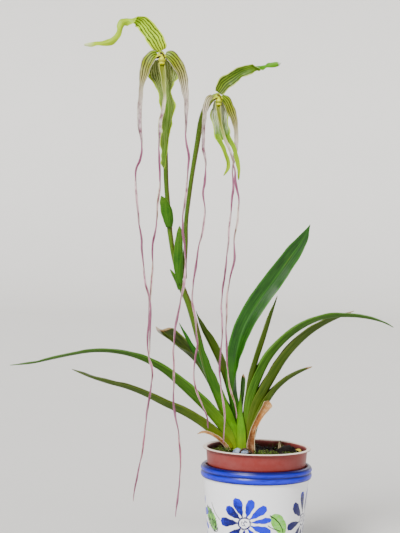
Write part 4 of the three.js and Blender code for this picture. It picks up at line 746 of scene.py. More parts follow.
def painted_glaze(glaze, blue, navy, green, dark_green):
    """Tin-glazed earthenware painted by brush: glossy off-white with cobalt blue and copper green strokes"""
    material, add, point = surface("painted_tin_glaze", Specular_IOR_Level=0.35)
    x, y, z = add("SeparateXYZ", point).outputs
    angle = add("ARCTAN2", x, add("MULTIPLY", y, -1))
    quarters = add("MULTIPLY_ADD", angle, 2 / math.pi, -DAISY_TURN * 2 / math.pi)
    # The painter set the second daisy closer than the rest
    for start, end, shift in ((0.42, 1.08, 0.085), (1.75, 3.05, -0.085)):
        closer = add("MapRange SMOOTHSTEP", angle, start, end, 0, shift)
        quarters = add("ADD", quarters, closer)
    level = add("MULTIPLY_ADD", z, 1 / MM, -DAISY_LEVEL)
    shaking = add("TexNoise", point, 1 / (6 * MM), 2.0)
    shake = add("VectorMath MULTIPLY_ADD", shaking.outputs["Color"], (1.8, 1.8, 0), (-0.9, -0.9, 0))
    brush = add("TexNoise", point, 1 / (3 * MM), 4.0, 0.7)

    def unrolled(shift):
        """Millimetres round and up the wall from the nearest motif of the four, and that motif's number"""
        moved = add("SUBTRACT", quarters, shift)
        number = add("ROUND", moved)
        round_wall = add("MULTIPLY", add("SUBTRACT", moved, number), math.pi / 2 * WALL_RADIUS)
        return add("VectorMath ADD", add("CombineXYZ", round_wall, level), shake), number

    def line(value, half, soft):
        """1 where value is within half of 0, fading to 0"""
        return add("MapRange SMOOTHSTEP", add("ABSOLUTE", value), half, half - soft)

    def scribble(size, half):
        """Curling pen lines about this many millimetres apart"""
        curls = add("TexNoise", point, 1 / (size * MM), 0.0)
        return line(add("SUBTRACT", curls, 0.5), half, half * 0.6)

    def arc(place, centre, radius, middle, reach):
        """A thin vine on a circle, as far as reach from a middle point"""
        out, held = (
            add("VectorMath DISTANCE", place, (*spot, 0)).outputs["Value"]
            for spot in (centre, middle)
        )
        ring = line(add("SUBTRACT", out, radius), 0.6, 0.35)
        return add("MULTIPLY", ring, add("MapRange SMOOTHSTEP", held, reach, reach - 1))

    # Daisies of ten petals, each a stroke of its own length, width and slant
    spot, number = unrolled(0)
    reach = add("VectorMath LENGTH", spot)
    along, up, _ = add("SeparateXYZ", spot).outputs
    bearing = add("ARCTAN2", up, along)
    petals = add("MULTIPLY_ADD", bearing, DAISY_PETALS / (2 * math.pi), -0.25)
    crowd = add("COSINE", add("ADD", bearing, -2.0))
    petals = add("MULTIPLY_ADD", crowd, 0.3, petals)
    petal = add("ROUND", petals)
    slant = add("SUBTRACT", petals, petal)
    petal = add("FLOORED_MODULO", petal, DAISY_PETALS)
    number = add("FLOORED_MODULO", number, 4)
    darker = add("FLOORED_MODULO", number, 2)
    chance = add("TexWhiteNoise", add("CombineXYZ", petal, number), noise_dimensions="3D")
    first, second, third = add("SeparateXYZ", chance.outputs["Color"]).outputs
    length = add("MULTIPLY_ADD", darker, 3.5, add("MULTIPLY_ADD", first, 5.0, 22.4))
    share = add("DIVIDE", reach, length)
    outline = add(
        "ValToRGB", share,
        stops=[(0.2, 0.0), (0.28, 0.22), (0.5, 0.66), (0.76, 1.0), (0.92, 0.8), (1.0, 0.0)],
    )
    outline.color_ramp.interpolation = "EASE"
    half_width = add("MULTIPLY", outline, add("MULTIPLY_ADD", second, 1.7, 3.3))
    slant = add("ADD", slant, add("MULTIPLY_ADD", third, 0.2, -0.1))
    off = add("MULTIPLY", add("ABSOLUTE", slant), add("MULTIPLY", reach, 2 * math.pi / DAISY_PETALS))
    inside = add("SUBTRACT", off, half_width)
    daisy = add("MapRange SMOOTHSTEP", inside, 0.1, -0.4)
    # More colour lies toward the middle and along the edges, and the petals that lean left are darker as
    # painted shade
    leftward = add("DIVIDE", along, reach)
    pooled_and_shaded = add("MULTIPLY_ADD", share, -1.5, 1.3)
    # Painted shade: petals that lean left get more navy
    pooled_and_shaded = add("MULTIPLY_ADD", leftward, -0.75, pooled_and_shaded)
    pooled_and_shaded = add("MULTIPLY_ADD", darker, 0.6, pooled_and_shaded)
    strokes = add("MULTIPLY_ADD", brush, 3.0, -1.55)
    pooled_and_shaded = add("ADD", pooled_and_shaded, strokes, use_clamp=True)
    edged = add("MapRange", inside, -0.9, -0.1, 0, 0.85)
    pooled_and_shaded = add("MAXIMUM", pooled_and_shaded, edged)
    petal_blue = add("Mix RGBA", pooled_and_shaded, blue, navy)

    # Centres: a broken dark ring round a scribble
    ring = line(add("SUBTRACT", reach, 5.3), 1.0, 0.5)
    ring = add("MULTIPLY", ring, add("MapRange", brush, 0.38, 0.48))
    pen = add("MULTIPLY", scribble(2.4, 0.13), add("MapRange SMOOTHSTEP", reach, 3.4, 2.6))
    centre = add("MAXIMUM", ring, pen)

    # Between daisies: a broad leaf, in turn with a rib or scribbled over, and a vine that joins it
    between, gap = unrolled(0.467)
    odd = add("FLOORED_MODULO", gap, 2)
    even = add("SUBTRACT", 1, odd)
    leaf_place = add("Mapping TEXTURE", between, (-0.6, -0.6, 0), (0, 0, math.radians(-50)), (12.4, 7, 1))
    leaf = add("MapRange SMOOTHSTEP", add("VectorMath LENGTH", leaf_place), 1.0, 0.91)
    leaf_x, leaf_y, _ = add("SeparateXYZ", leaf_place).outputs
    rib = add("MULTIPLY_ADD", add("MULTIPLY", leaf_x, leaf_x), 0.35, leaf_y)
    held = add("MapRange SMOOTHSTEP", add("VectorMath LENGTH", leaf_place), 1.15, 1.05)
    rib = line(rib, 0.11, 0.07)
    for limit in (add("MapRange SMOOTHSTEP", leaf_x, 0.8, 0.7), even, held):
        rib = add("MULTIPLY", rib, limit)
    curls = add("MULTIPLY", add("MULTIPLY", scribble(3, 0.1), held), odd)
    washed = add("MapRange", brush, 0.4, 0.7, 0, 0.25)
    leaf_green = add("Mix RGBA", washed, green, glaze)
    deep = add("MapRange", shaking, 0.35, 0.6, 0, 0.5)
    deep = add("MULTIPLY", deep, add("MULTIPLY_ADD", odd, 1.3, 0.4))
    leaf_green = add("Mix RGBA", deep, leaf_green, "#2c6c08")
    right_vine = add("MULTIPLY", arc(between, (6, 22), 29.4, (-5.6, -4.6), 7.5), even)
    left_vine = add("MULTIPLY", arc(between, (26, 22), 25.2, (6.6, 7), 9.5), odd)
    vine = add("MAXIMUM", right_vine, left_vine)
    sprig = add("MAXIMUM", vine, curls)

    wall = add("Mix RGBA", leaf, glaze, leaf_green)
    wall = add("Mix RGBA", add("MAXIMUM", rib, sprig), wall, dark_green)
    wall = add("Mix RGBA", daisy, wall, petal_blue)
    wall = add("Mix RGBA", centre, wall, navy)

    # The motifs are on the outside alone; the band's two rolls are brushed blue, with painted shade in their
    # groove and on the upper roll
    radius = add("VectorMath LENGTH", add("CombineXYZ", x, y))
    outline_radius = add(
        "MULTIPLY_ADD", z, (SHOULDER_RADIUS - FOOT_RADIUS) / BAND_BOTTOM, (FOOT_RADIUS - 1.7) * MM
    )
    outside = add("GREATER_THAN", radius, outline_radius)
    colour = add("Mix RGBA", outside, glaze, wall)
    # Painted shade: navy where the band's rolls curve in, in the groove and at their edges
    crest = add("MapRange", radius, (BAND_RADIUS - 0.85) * MM, (BAND_RADIUS - 0.1) * MM)
    swept = add("Mapping", add("CombineXYZ", angle, z), None, None, (5, 900, 1))
    sweep = add("TexNoise", swept, 1.0, 3.0)
    crest = add("MULTIPLY", crest, add("MapRange", sweep, 0.2, 0.5))
    # Painted shade: the upper roll is darker
    crest = add("MULTIPLY", crest, add("MapRange", z, 81.5 * MM, 84 * MM, 1.0, 0.75))
    band_blue = add("Mix RGBA", crest, navy, blue)
    ragged = add("MULTIPLY_ADD", sweep, 0.8 * MM, (BAND_BOTTOM - 0.1) * MM)
    beyond = add("GREATER_THAN", radius, (BAND_RADIUS - 4.2) * MM)
    band = add("MULTIPLY", add("GREATER_THAN", z, ragged), beyond)
    colour = add("Mix RGBA", band, colour, band_blue)

    # Unglazed foot, and a glaze that is a little uneven
    foot = add("LESS_THAN", z, 0.9 * MM)
    colour = add("Mix RGBA", foot, colour, "#b98a66")
    rough = add("MapRange", shaking, 0.3, 0.7, 0.16, 0.28)
    rough = add("MULTIPLY_ADD", band, 0.14, add("MULTIPLY_ADD", foot, 0.6, rough))
    thrown = add("TexNoise", add("Mapping", point, None, None, (14, 14, 170)), 1.0, 2.0)
    return connect(material, colour, rough, thrown, 0.35)


def moulded_plastic(brown, lip):
    """Injection-moulded polypropylene: satin terracotta brown, dusty, with a pale painted highlight along the
    top of its lip and painted shade on its inner wall
    """
    material, add, point = surface("moulded_polypropylene", Specular_IOR_Level=0.35)
    x, y, z = add("SeparateXYZ", point).outputs
    cloud = add("TexNoise", point, 1 / (18 * MM), 4.0, 0.65)
    fine = add("TexNoise", point, 1 / (1.4 * MM), 3.0)
    dust = add("MapRange", cloud, 0.35, 0.65, 0, 0.6)
    colour = add("Mix RGBA", dust, brown, "#8c4a48")
    # Painted shade on the inner wall, deepening below the lip: within the middle of the wall, which widens in
    # three steps from the floor up
    painted_shade_inside = add("MapRange", z, 103.6 * MM, 99 * MM, 0, 0.9)
    middle = 32.9 * MM
    for low, high, wider in ((7.3, 86, 9.1), (86.5, 88, 2.9), (88, 102, 1.1)):
        middle = add("ADD", add("MapRange", z, low * MM, high * MM, 0, wider * MM), middle)
    inner = add("LESS_THAN", add("VectorMath LENGTH", add("CombineXYZ", x, y)), middle)
    colour = add("Mix RGBA", add("MULTIPLY", painted_shade_inside, inner), colour, "#3a120e")
    # Painted highlight: pale cream along the top of the lip, its lower edge made uneven by fine noise
    uneven_level = add("MULTIPLY_ADD", fine, 0.5 * MM, z)
    highlight = add("MapRange", uneven_level, (LIP_LEVEL - 0.75) * MM, (LIP_LEVEL - 0.25) * MM, 0, 0.92)
    colour = add("Mix RGBA", highlight, colour, lip)
    return connect(material, colour, (cloud, 0.3, 0.7, 0.36, 0.55), fine, 0.05)


def bark_surface(name, dark, light, grain, roughness=(0.8, 0.95)):
    """Damp composted bark: dark, fibrous, each chip a little lighter or darker by the attribute "tone"."""
    material, add, point = surface(name, Specular_IOR_Level=0.15)
    tone = add("Attribute", attribute_name="tone").outputs["Fac"]
    fibres = add("TexNoise", point, 1 / (grain * MM), 5.0, 0.7)
    factor = add("MapRange", add("MULTIPLY_ADD", fibres, 0.9, tone), 0.35, 1.3)
    colour = add("ValToRGB", factor, stops=[(0.0, dark), (0.55, light), (1.0, "#a08c6c")])
    return connect(material, colour, (fibres, 0.3, 0.7, *roughness), fibres, 0.6)


def pebble_surface(name, base, fleck, size):
    """A water-worn pebble: matt, clouded and flecked"""
    material, add, point = surface(name)
    cloud = add("TexNoise", point, 1 / (size * MM), 5.0, 0.65)
    colour = add("Mix RGBA", add("MapRange", cloud, 0.35, 0.65), base, fleck)
    return connect(material, colour, (cloud, 0, 1, 0.45, 0.8), cloud, 0.3)


def crown_distance(x, y):
    """How far out a place on the potting mix lies from the crown of leaves, 1 at its edge"""
    return math.hypot((x - CROWN[0]) / CROWN_HALF[0], (y - CROWN[1]) / CROWN_HALF[1])


def mix_level(x, y):
    """Height of the potting mix, mounded round the crown and just over the feet of the leaves there"""
    away = math.hypot(x - CROWN[0], y - CROWN[1]) / MOUND_REACH
    lumps = 0.5 * math.sin(0.55 * x + 1.3) * math.cos(0.6 * y - 0.4) + 0.35 * math.sin(0.9 * (x - y))
    level = MIX_WALL_LEVEL + MIX_MOUND * math.exp(-away * away) + lumps
    return mix(max(level, LEAF_FOOT + 0.5), level, smooth((crown_distance(x, y) - 1) / 0.5))


def seeded(state):
    """Numbers from 0 to 1 in an order fixed by the first state"""
    while True:
        state = (state * 1664525 + 1013904223) % 4294967296
        yield state / 4294967296


def chip(bm, centre, size, turns, seed, tone):
    """Adds one bark chip: a cut cube with torn sides"""
    one = bmesh.new()
    layer = one.verts.layers.float.new("tone")
    bmesh.ops.create_cube(one, size=1)
    bmesh.ops.subdivide_edges(one, edges=one.edges, cuts=2, use_grid_fill=True, smooth=0.35)
    for vert in one.verts:
        vert.co += noise.noise_vector(vert.co * 2.2 + Vector((seed, seed, 0))) * 0.2
        vert.co.x += 0.12 * math.sin(9 * vert.co.y + seed)
        vert[layer] = tone
    bmesh.ops.transform(one, matrix=placed(centre, "ZYX", turns, size), verts=one.verts)
    mesh = finished("chip", one)
    bm.from_mesh(mesh)
    bpy.data.meshes.remove(mesh)


# Tools


def colour_setting(name, description, code):
    return FloatVectorProperty(
        name=name, description=description, subtype="COLOR", size=4, min=0, max=1, default=linear(code)
    )


def number_setting(kind, name, description, default, least, most, **unit):
    return kind(name=name, description=description, default=default, min=least, max=most, **unit)


class OrchidSettings(bpy.types.PropertyGroup):
    """Sizes and colours that a user may change before building"""

    pot_steps: number_setting(IntProperty, "Pot Steps", "Segments round both pots", 144, 32, 256)
    glaze: colour_setting("Glaze", "Ground colour of the cachepot", "#fafafc")
    blue: colour_setting("Cobalt", "Thin blue of the brushwork", "#0216dc")
    # Navy also paints the shade in the band's groove and on the daisy petals that lean left
    navy: colour_setting("Pooled Cobalt", "Blue where the brush left most colour", "#030358")
    green: colour_setting("Copper Green", "Broad leaves of the brushwork", "#74cc30")
    dark_green: colour_setting("Dark Green", "Vines, ribs and sprigs", "#0c2408")
    pot_brown: colour_setting("Pot Brown", "Plastic of the nursery pot", "#842c26")
    # The lip colour paints a highlight along the top of the nursery pot's lip
    lip: colour_setting("Lime Highlight", "Pale crust on the nursery pot's lip", "#efe0cf")
    chips: number_setting(IntProperty, "Bark Chips", "Small chips on the potting mix", 170, 0, 400)
    moss: number_setting(IntProperty, "Moss Strands", "Strands of moss on the potting mix", 220, 0, 400)
    leaf_thickness: number_setting(
        FloatProperty, "Leaf Thickness", "At the midrib", 0.0008, 0.0003, 0.002, unit="LENGTH"
    )
    petal_thickness: number_setting(
        FloatProperty, "Petal Thickness", "At the middle", 0.0006, 0.0003, 0.002, unit="LENGTH"
    )
    ribbon_spin: number_setting(
        FloatProperty, "Ribbon Spin", "Added twist of a ribbon, degrees a millimetre", 2.4, 0, 10
    )
    floor: colour_setting("Floor", "Floor and surroundings", "#e6e4e0")
    key: number_setting(FloatProperty, "Key Light", "Strength of the main light", 4.9, 0, 20)
    backdrop: number_setting(
        FloatProperty, "Backdrop", "Brightness of the surroundings at eye level", 0.6, 0, 5
    )


def settings(context):
    return context.scene.potted_orchid


class ORCHID_OT_studio(bpy.types.Operator):
    """Makes the camera, the lights, the pale surroundings and a floor that sweeps up behind the plant"""

    bl_idname = "orchid.studio"
    bl_label = "Studio"

    def execute(self, context):
        scene = context.scene
        tone = settings(context)
        forward = Vector((0, math.cos(LOOK_DOWN), -math.sin(LOOK_DOWN)))
        right = Vector((1, 0, 0))
        up = right.cross(forward)
        turned_right = right * math.cos(ROLL) + up * math.sin(ROLL)
        turned_up = up * math.cos(ROLL) - right * math.sin(ROLL)
        place = Matrix((turned_right, turned_up, -forward)).transposed().to_4x4()
        place.translation = EYE
        lens = bpy.data.cameras.new("camera")
        lens.lens = 100
        lens.sensor_width = 36
        camera = bpy.data.objects.new("camera", lens)
        camera.matrix_world = place
        scene.collection.objects.link(camera)
        scene.camera = camera

        # Soft lamps, far off: where each stands from the middle of the flowers and the pot, and its strength
        for name, spot, softness, strength in (
            ("key", (-0.75, -1.3, 1.15), 20, tone.key), ("fill", (1.2, -1.0, 0.5), 50, tone.key * 0.16),
            ("back", (0.6, 1.3, 1.2), 40, tone.key * 0.3),
        ):
            lamp = bpy.data.lights.new(name, "SUN")
            lamp.angle = math.radians(softness)
            lamp.energy = strength
            made = bpy.data.objects.new(name, lamp)
            made.rotation_euler = Vector(spot).to_track_quat("Z", "Y").to_euler()
            scene.collection.objects.link(made)

        # Surroundings: pale at eye level, dimmer overhead
        world = bpy.data.worlds.new("surroundings")
        world.use_nodes = True
        background = world.node_tree.nodes["Background"]
        add = functools.partial(add_node, world.node_tree)
        background.inputs["Color"].default_value = tone.floor
        _, _, up = add("SeparateXYZ", add("TexCoord").outputs["Generated"]).outputs
        strength = add("MapRange", up, 0.2, 0.6, tone.backdrop, tone.backdrop * 0.5)
        world.node_tree.links.new(strength.outputs[0], background.inputs["Strength"])
        scene.world = world

        # Painted studio floor: matt, faintly uneven
        material, add, point = surface("painted_floor")
        cloud = add("TexNoise", point, 6.0, 3.0)
        shade = add("MapRange", cloud, 0, 1, 0.96, 1.0)
        colour = add("Mix RGBA", 1.0, tone.floor, shade, blend_type="MULTIPLY")
        connect(material, colour, (cloud, 0, 1, 0.75, 0.85), cloud, 0.2)
        # Floor, in metres: level from front to back, then a quarter round up to a low wall
        half_width, back, bend, top = 9, 3.6, 1.4, 2
        sweep = [(-half_width, 0), (back, 0)]
        for turn in (i * math.pi / 48 for i in range(1, 25)):
            sweep.append((back + bend * math.sin(turn), bend - bend * math.cos(turn)))
        sweep.append((back + bend, top))
        bm = bmesh.new()
        verts = [bm.verts.new((-half_width, y, z)) for y, z in sweep]
        edges = [bm.edges.new(pair) for pair in zip(verts, verts[1:])]
        swept = bmesh.ops.extrude_edge_only(bm, edges=edges)["geom"]
        moved = [each for each in swept if isinstance(each, bmesh.types.BMVert)]
        bmesh.ops.translate(bm, vec=(2 * half_width, 0, 0), verts=moved)
        bmesh.ops.recalc_face_normals(bm, faces=bm.faces)
        if bm.faces[0].normal.z < 0:
            bmesh.ops.reverse_faces(bm, faces=bm.faces)
        mesh = finished("floor", bm)
        mesh.shade_smooth()
        mesh.materials.append(material)
        floor = bpy.data.objects.new("floor", mesh)
        scene.collection.objects.link(floor)
        return {"FINISHED"}


class ORCHID_OT_cachepot(bpy.types.Operator):
    """Turns the painted cachepot"""

    bl_idname = "orchid.cachepot"
    bl_label = "Cachepot"

    def execute(self, context):
        tone = settings(context)
        groove = BAND_RADIUS - 1
        profile = eased(
            [
                (0, 0), (FOOT_RADIUS - 1, 0), (FOOT_RADIUS, 1), (45.35, 38), (SHOULDER_RADIUS, BAND_BOTTOM),
                (groove, BAND_BOTTOM + 0.6),
            ],
            1.2,
        )
        profile += half_round(BAND_BOTTOM + 0.6, BAND_BOTTOM + 6.4, groove)[1:]
        profile += half_round(BAND_BOTTOM + 6.4, CACHEPOT_TOP - 1.2, groove)[1:]
        profile += eased(
            [
                (groove, CACHEPOT_TOP - 1), (BAND_RADIUS - 2.4, CACHEPOT_TOP), (47.6, CACHEPOT_TOP),
                (46.8, CACHEPOT_TOP - 1), (45.8, CACHEPOT_TOP - 14), (36.3, CACHEPOT_FLOOR + 2),
                (34.3, CACHEPOT_FLOOR), (0, CACHEPOT_FLOOR),
            ],
            1.0,
        )
        glaze = painted_glaze(tone.glaze, tone.blue, tone.navy, tone.green, tone.dark_green)
        piece(
            "cachepot_glazed", spun(profile, tone.pot_steps), "glazed_ceramic", glaze,
            replaces=["cachepot"], sharp=70,
        )
        return {"FINISHED"}


class ORCHID_OT_nursery_pot(bpy.types.Operator):
    """Turns the plastic nursery pot and drills its drain holes"""

    bl_idname = "orchid.nursery_pot"
    bl_label = "Nursery Pot"

    def execute(self, context):
        tone = settings(context)
        profile = eased(
            [
                (0, NURSERY_FLOOR), (32.5, NURSERY_FLOOR), (33.5, NURSERY_FLOOR + 1),
                (42.6, STEP_LEVEL - 1), (45.5, STEP_LEVEL + 1), (46.7, LIP_LEVEL - 1.8),
                (49.4, LIP_LEVEL - 1.6), (LIP_RADIUS, LIP_LEVEL - 0.8), (49.3, LIP_LEVEL),
                (47.1, LIP_LEVEL), (45.5, LIP_LEVEL - 1.4), (44.3, STEP_LEVEL + 2), (41.4, STEP_LEVEL),
                (32.3, NURSERY_FLOOR + 2.6), (31.3, NURSERY_FLOOR + 1.6), (0, NURSERY_FLOOR + 1.6),
            ],
            0.7,
        )
        pot = piece(
            "nursery_pot_moulded", spun(profile, tone.pot_steps), "brown_plastic",
            moulded_plastic(tone.pot_brown, tone.lip), replaces=["nursery_pot"], sharp=50,
        )
        drill = bmesh.new()
        for hole in range(DRAIN_HOLES):
            angle = 2 * math.pi * hole / DRAIN_HOLES
            centre = (DRAIN_RING * math.cos(angle), DRAIN_RING * math.sin(angle), NURSERY_FLOOR)
            bmesh.ops.create_cone(
                drill, cap_ends=True, segments=24, radius1=DRAIN_RADIUS * MM, radius2=DRAIN_RADIUS * MM,
                depth=6 * MM, matrix=Matrix.Translation(Vector(centre) * MM),
            )
        cutter = bpy.data.objects.new("drill", finished("drill", drill))
        context.scene.collection.objects.link(cutter)
        holes = pot.modifiers.new("Drain holes", "BOOLEAN")
        holes.operation = "DIFFERENCE"
        holes.object = cutter
        baked(pot, context)
        bpy.data.objects.remove(cutter)
        return {"FINISHED"}


class ORCHID_OT_potting_mix(bpy.types.Operator):
    """Fills the nursery pot with mix, and lays bark chips, stones, moss and a dead root on it"""

    bl_idname = "orchid.potting_mix"
    bl_label = "Potting Mix"

    def execute(self, context):
        tone = settings(context)
        rings = [(MIX_RADIUS * (1 - i / 56), MIX_WALL_LEVEL) for i in range(57)]
        profile = [
            (0, 8.2), (30.7, 8.2), (31.9, 10.2), (40.8, STEP_LEVEL - 2), (41.1, STEP_LEVEL + 1),
            (MIX_RADIUS, STEP_LEVEL + 3), (MIX_RADIUS, MIX_WALL_LEVEL - 1),
        ] + rings
        bm = spun(profile, 160)
        layer = bm.verts.layers.float.new("tone")
        for vert in bm.verts:
            x, y, z = vert.co / MM
            if z > MIX_WALL_LEVEL - 0.5:
                crumbs = noise.fractal(Vector((x, y, 0)) / 3.2, 0.7, 2.1, 4)
                grains = max(swing(x / 1.3, y / 1.3, 7 / 1.3), 0)
                vert.co.z = (mix_level(x, y) + 0.7 * crumbs + 0.8 * grains) * MM
                vert[layer] = 0.12 + 0.15 * crumbs
        crumbly = bark_surface("composted_bark", "#040302", "#20180f", 2.2)
        piece("potting_mix_bark", bm, "bark_mix", crumbly, replaces=["potting_mix"])

        bm = bmesh.new()
        bm.verts.layers.float.new("tone")
        # The noise that tears the chips is the same in every run
        noise.seed_set(7)
        chance = seeded(7)
        laid = 0
        while laid < 20:
            angle = 2 * math.pi * next(chance)
            radius = 8 + 29 * math.sqrt(next(chance))
            x, y = radius * math.cos(angle), radius * math.sin(angle)
            size = [5 + 5 * next(chance), 3.5 + 3 * next(chance), 2.4 + 1.6 * next(chance)]
            turns = [math.pi * next(chance), 0.5 * (next(chance) - 0.5), 0.5 * (next(chance) - 0.5)]
            if crown_distance(x, y) < 1.45:
                continue
            turns = (turns[0], turns[2], turns[1])
            chip(bm, (x, y, mix_level(x, y) + 0.5), size, turns, laid, 0.1 + 0.03 * (laid % 7))
            laid += 1
        draw = random.Random(5)
        for number in range(tone.chips):
            angle = draw.uniform(0, 2 * math.pi)
            radius = 42 * math.sqrt(draw.random())
            x, y = radius * math.cos(angle), radius * math.sin(angle)
            size = [draw.uniform(2, 6.5), draw.uniform(1.4, 3.6), draw.uniform(0.8, 2.2)]
            turns = [draw.uniform(0, math.pi), draw.uniform(-0.7, 0.7), draw.uniform(-0.5, 0.5)]
            shade = draw.choice((0.0, 0.1, 0.15, 0.25, 0.4))
            if crown_distance(x, y) < 1.15 or radius > 41.5:
                continue
            chip(bm, (x, y, mix_level(x, y) + 0.35), size, turns, number + 30, shade)
        # One pale sliver on end, two dark chips by the yellow stone and one at the left
        chip(bm, (21.5, 11, 101.5), (1.1, 3.2, 10), (0.4, 0.2, -0.25), 91, 0.95)
        chip(bm, (26, 6, 99.6), (13, 8, 4.6), (0.5, -0.2, 0.2), 92, 0.02)
        chip(bm, (35, 2, 98.6), (8, 7, 4), (1.4, 0.2, 0.1), 93, 0.06)
        chip(bm, (-34, -16, 98.4), (8, 5, 3), (0.9, 0.2, 0.1), 94, 0.12)
        chips = bark_surface("pine_bark_chips", "#050403", "#2c1e14", 1.6)
        piece("bark_chips", bm, "bark_mix", chips, sharp=35)

        bm = bmesh.new()
        lump(bm, (-18.2, -18, 101.4), (8.6, 7, 6), 20, 0.2, 3)
        lump(bm, (-12, -18.4, 100.8), (8.6, 7, 5.4), 50, 0.2, 8)
        pebbles = pebble_surface("quartz_pebble", "#bccbe2", "#7888a0", 5)
        piece("pebbles", bm, "pale_stone", pebbles, replaces=["stones"])
        bm = bmesh.new()
        lump(bm, (38.4, 2.4, 99.4), (8, 6.4, 6), 30, 0.35, 21, grain=0.5)
        sandstone = pebble_surface("yellow_sandstone", "#d8c430", "#98801c", 2)
        piece("yellow_pebble", bm, "yellow_stone", sandstone, replaces=["yellow_stone"])

        woody = bark_surface("woody_rootstock", "#4a3a22", "#8f7d55", 1.5)
        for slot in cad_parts["rootstock"].material_slots:
            slot.material = woody

        bm = bmesh.new()
        for number in range(tone.moss):
            centre = draw.choice(MOSS_TUFTS)
            x, y = draw.gauss(centre[0], 4.5), draw.gauss(centre[1], 3)
            if math.hypot(x, y) > 42:
                continue
            z = mix_level(x, y)
            lean, turn, tall = draw.uniform(1, 4.5), draw.uniform(0, 2 * math.pi), draw.uniform(2.5, 7)
            across, back = lean * math.cos(turn), lean * math.sin(turn)
            path = (
                (x, y, z - 0.5, 0.26), (x + across * 0.35, y + back * 0.35, z + tall * 0.6, 0.26),
                (x + across, y + back, z + tall, 0.18),
                (x + across * 1.7, y + back * 1.7, z + tall * 0.86, 0.05),
            )
            tube(bm, path, 5, 1.6)
        mossy = blade_surface(
            "moss", [(0.0, "#1c2c04"), (0.5, "#3c6008"), (1.0, "#84943c")], (6, "#141c04", 0.5)
        )
        piece("moss_strands", bm, "bark_mix", mossy)

        bm = bmesh.new()
        tube(bm, ROOTS[0], 10, 0.8, lambda share, turn, run: 0.12 * math.sin(3 * run + turn))
        tube(bm, ROOTS[1], 8, 0.8)
        root = bark_surface("dead_root", "#2a1a12", "#8d7358", 1.2)
        piece("dead_roots", bm, "rootstock", root)
        return {"FINISHED"}


def waves(seed, height=0.5, ragged=0, margin=0.35, slanted=0):
    """Form of a living blade: low waves that are greatest at the margins, which wander a little. ragged is
    how far a torn end is frayed and slanted how much shorter its upper half is, in millimetres."""

    def form(share, across, run, sheath):
        side = 1 if across > 0 else -1
        free = (1 - sheath) * smooth(share * 6)
        swell = swing(run / 16, 2.1 * side, seed) + 0.5 * swing(run / 6.5, side, seed + 5)
        edge = margin * swing(run / 7, 3.3 * side, seed + 9) * abs(across) ** 3 * side * free
        torn = 0
        if ragged:
            strand = swing(across * 4, seed, 1) + 0.6 * swing(across * 11, seed, 4)
            torn = (ragged * strand - slanted * (across + 1) / 2) * smooth((share - 0.8) / 0.2)
        return torn, edge, height * swell * across * across * free

    return form


def ruffles(amount, rate, phase, start=0.0, calm=0.3):
    """Form of a waved margin: amount in millimetres, rate in radians over the whole length"""

    def form(share, across, run, sheath):
        side = 1 if across > 0 else -1
        strength = mix(calm, 1, smooth((share - start) / 0.08)) if start else 1
        wave = math.sin(rate * share + phase * side) + 0.35 * math.sin(2.3 * rate * share + 1.7 * side)
        wave += 0.8 * swing(share * rate * 0.7, phase, 4.3 * side)
        return 0, 0.5 * amount * wave * side * abs(across) ** 3, amount * strength * wave * across * across

    return form


# Tone: colour along the blade, then of its streaks, its patches and its underside
LEAF_TONES = {
    # Mid leaves: the pale streak colour, also used on the midrib and margins, is partly a painted highlight
    "mid": (
        [(0.0, "#8ca400"), (0.1, "#587c00"), (0.26, "#183a00"), (0.6, "#0e2e00"), (1.0, "#1a3e04")],
        "#588820", "#081c00", "#284c00",
    ),
    "olive": (
        [(0.0, "#7c8400"), (0.12, "#486000"), (0.3, "#1a2c00"), (0.7, "#182800"), (1.0, "#2a3a00")],
        "#5c6c1c", "#0a1600", "#304804",
    ),
    "cool": (
        [(0.0, "#7c9c00"), (0.14, "#407800"), (0.36, "#185000"), (0.75, "#0a3600"), (1.0, "#144a00")],
        "#387418", "#021e00", "#20560a",
    ),
    "bright": (
        [(0.0, "#94b400"), (0.09, "#64a000"), (0.2, "#204800"), (0.34, "#0c2e00"), (1.0, "#0e3400")],
        "#447010", "#082400", "#285404",
    ),
}


class ORCHID_OT_leaves(bpy.types.Operator):
    """Grows the twelve leaves, each from its clasping sheath"""

    bl_idname = "orchid.leaves"
    bl_label = "Leaves"

    def execute(self, context):
        tone = settings(context)
        skins = {}
        for name, (along, streak, patch, under) in LEAF_TONES.items():
            # Upper skin: waxy green with a pale midrib, fine parallel streaks and pale margins; on mid leaves
            # the pale midrib and margins are partly a painted highlight
            face = blade_surface(
                f"waxy_leaf_{name}", along, (34, streak, 0.4), rib=(0.08, streak, 0.5),
                margin=(0.8, streak, 0.95), mottle=(16, patch, 0.65), roughness=(0.3, 0.42), reach=250,
                Specular_IOR_Level=0.32,
            )
            # Under skin: paler and duller, with the midrib as a darker ridge
            back = blade_surface(
                f"matt_underleaf_{name}", along[:2] + [(0.24, under), (1.0, under)], (30, streak, 0.45),
                reach=250, rib=(0.08, patch, 0.5), margin=(0.93, streak, 0.6),
                mottle=(18, along[2][1], 0.4), roughness=(0.45, 0.6), Specular_IOR_Level=0.2,
            )
            skins[name] = (face, back)
        for number, (name, (kind, nest, dry, stations)) in enumerate(LEAVES.items()):
            ragged, slanted = {"leaf_03_torn_left": (3, 9), "leaf_12_short_stub": (0.8, 1)}.get(name, (0, 0))
            bm = blade(
                bmesh.new(), stations, 12, 3.6, gap=SHEATH_PITCH * nest + SHEATH_CORE, dry=dry,
                tip=1 if ragged else max(6, 1.6 * stations[-3][3]),
                form=waves(number * 3.7, ragged=ragged, slanted=slanted),
            )
            piece(
                name + "_blade", bm, "leaf_" + kind, *skins[kind], replaces=[name],
                thickness=tone.leaf_thickness, margin=0.35,
            )
        return {"FINISHED"}


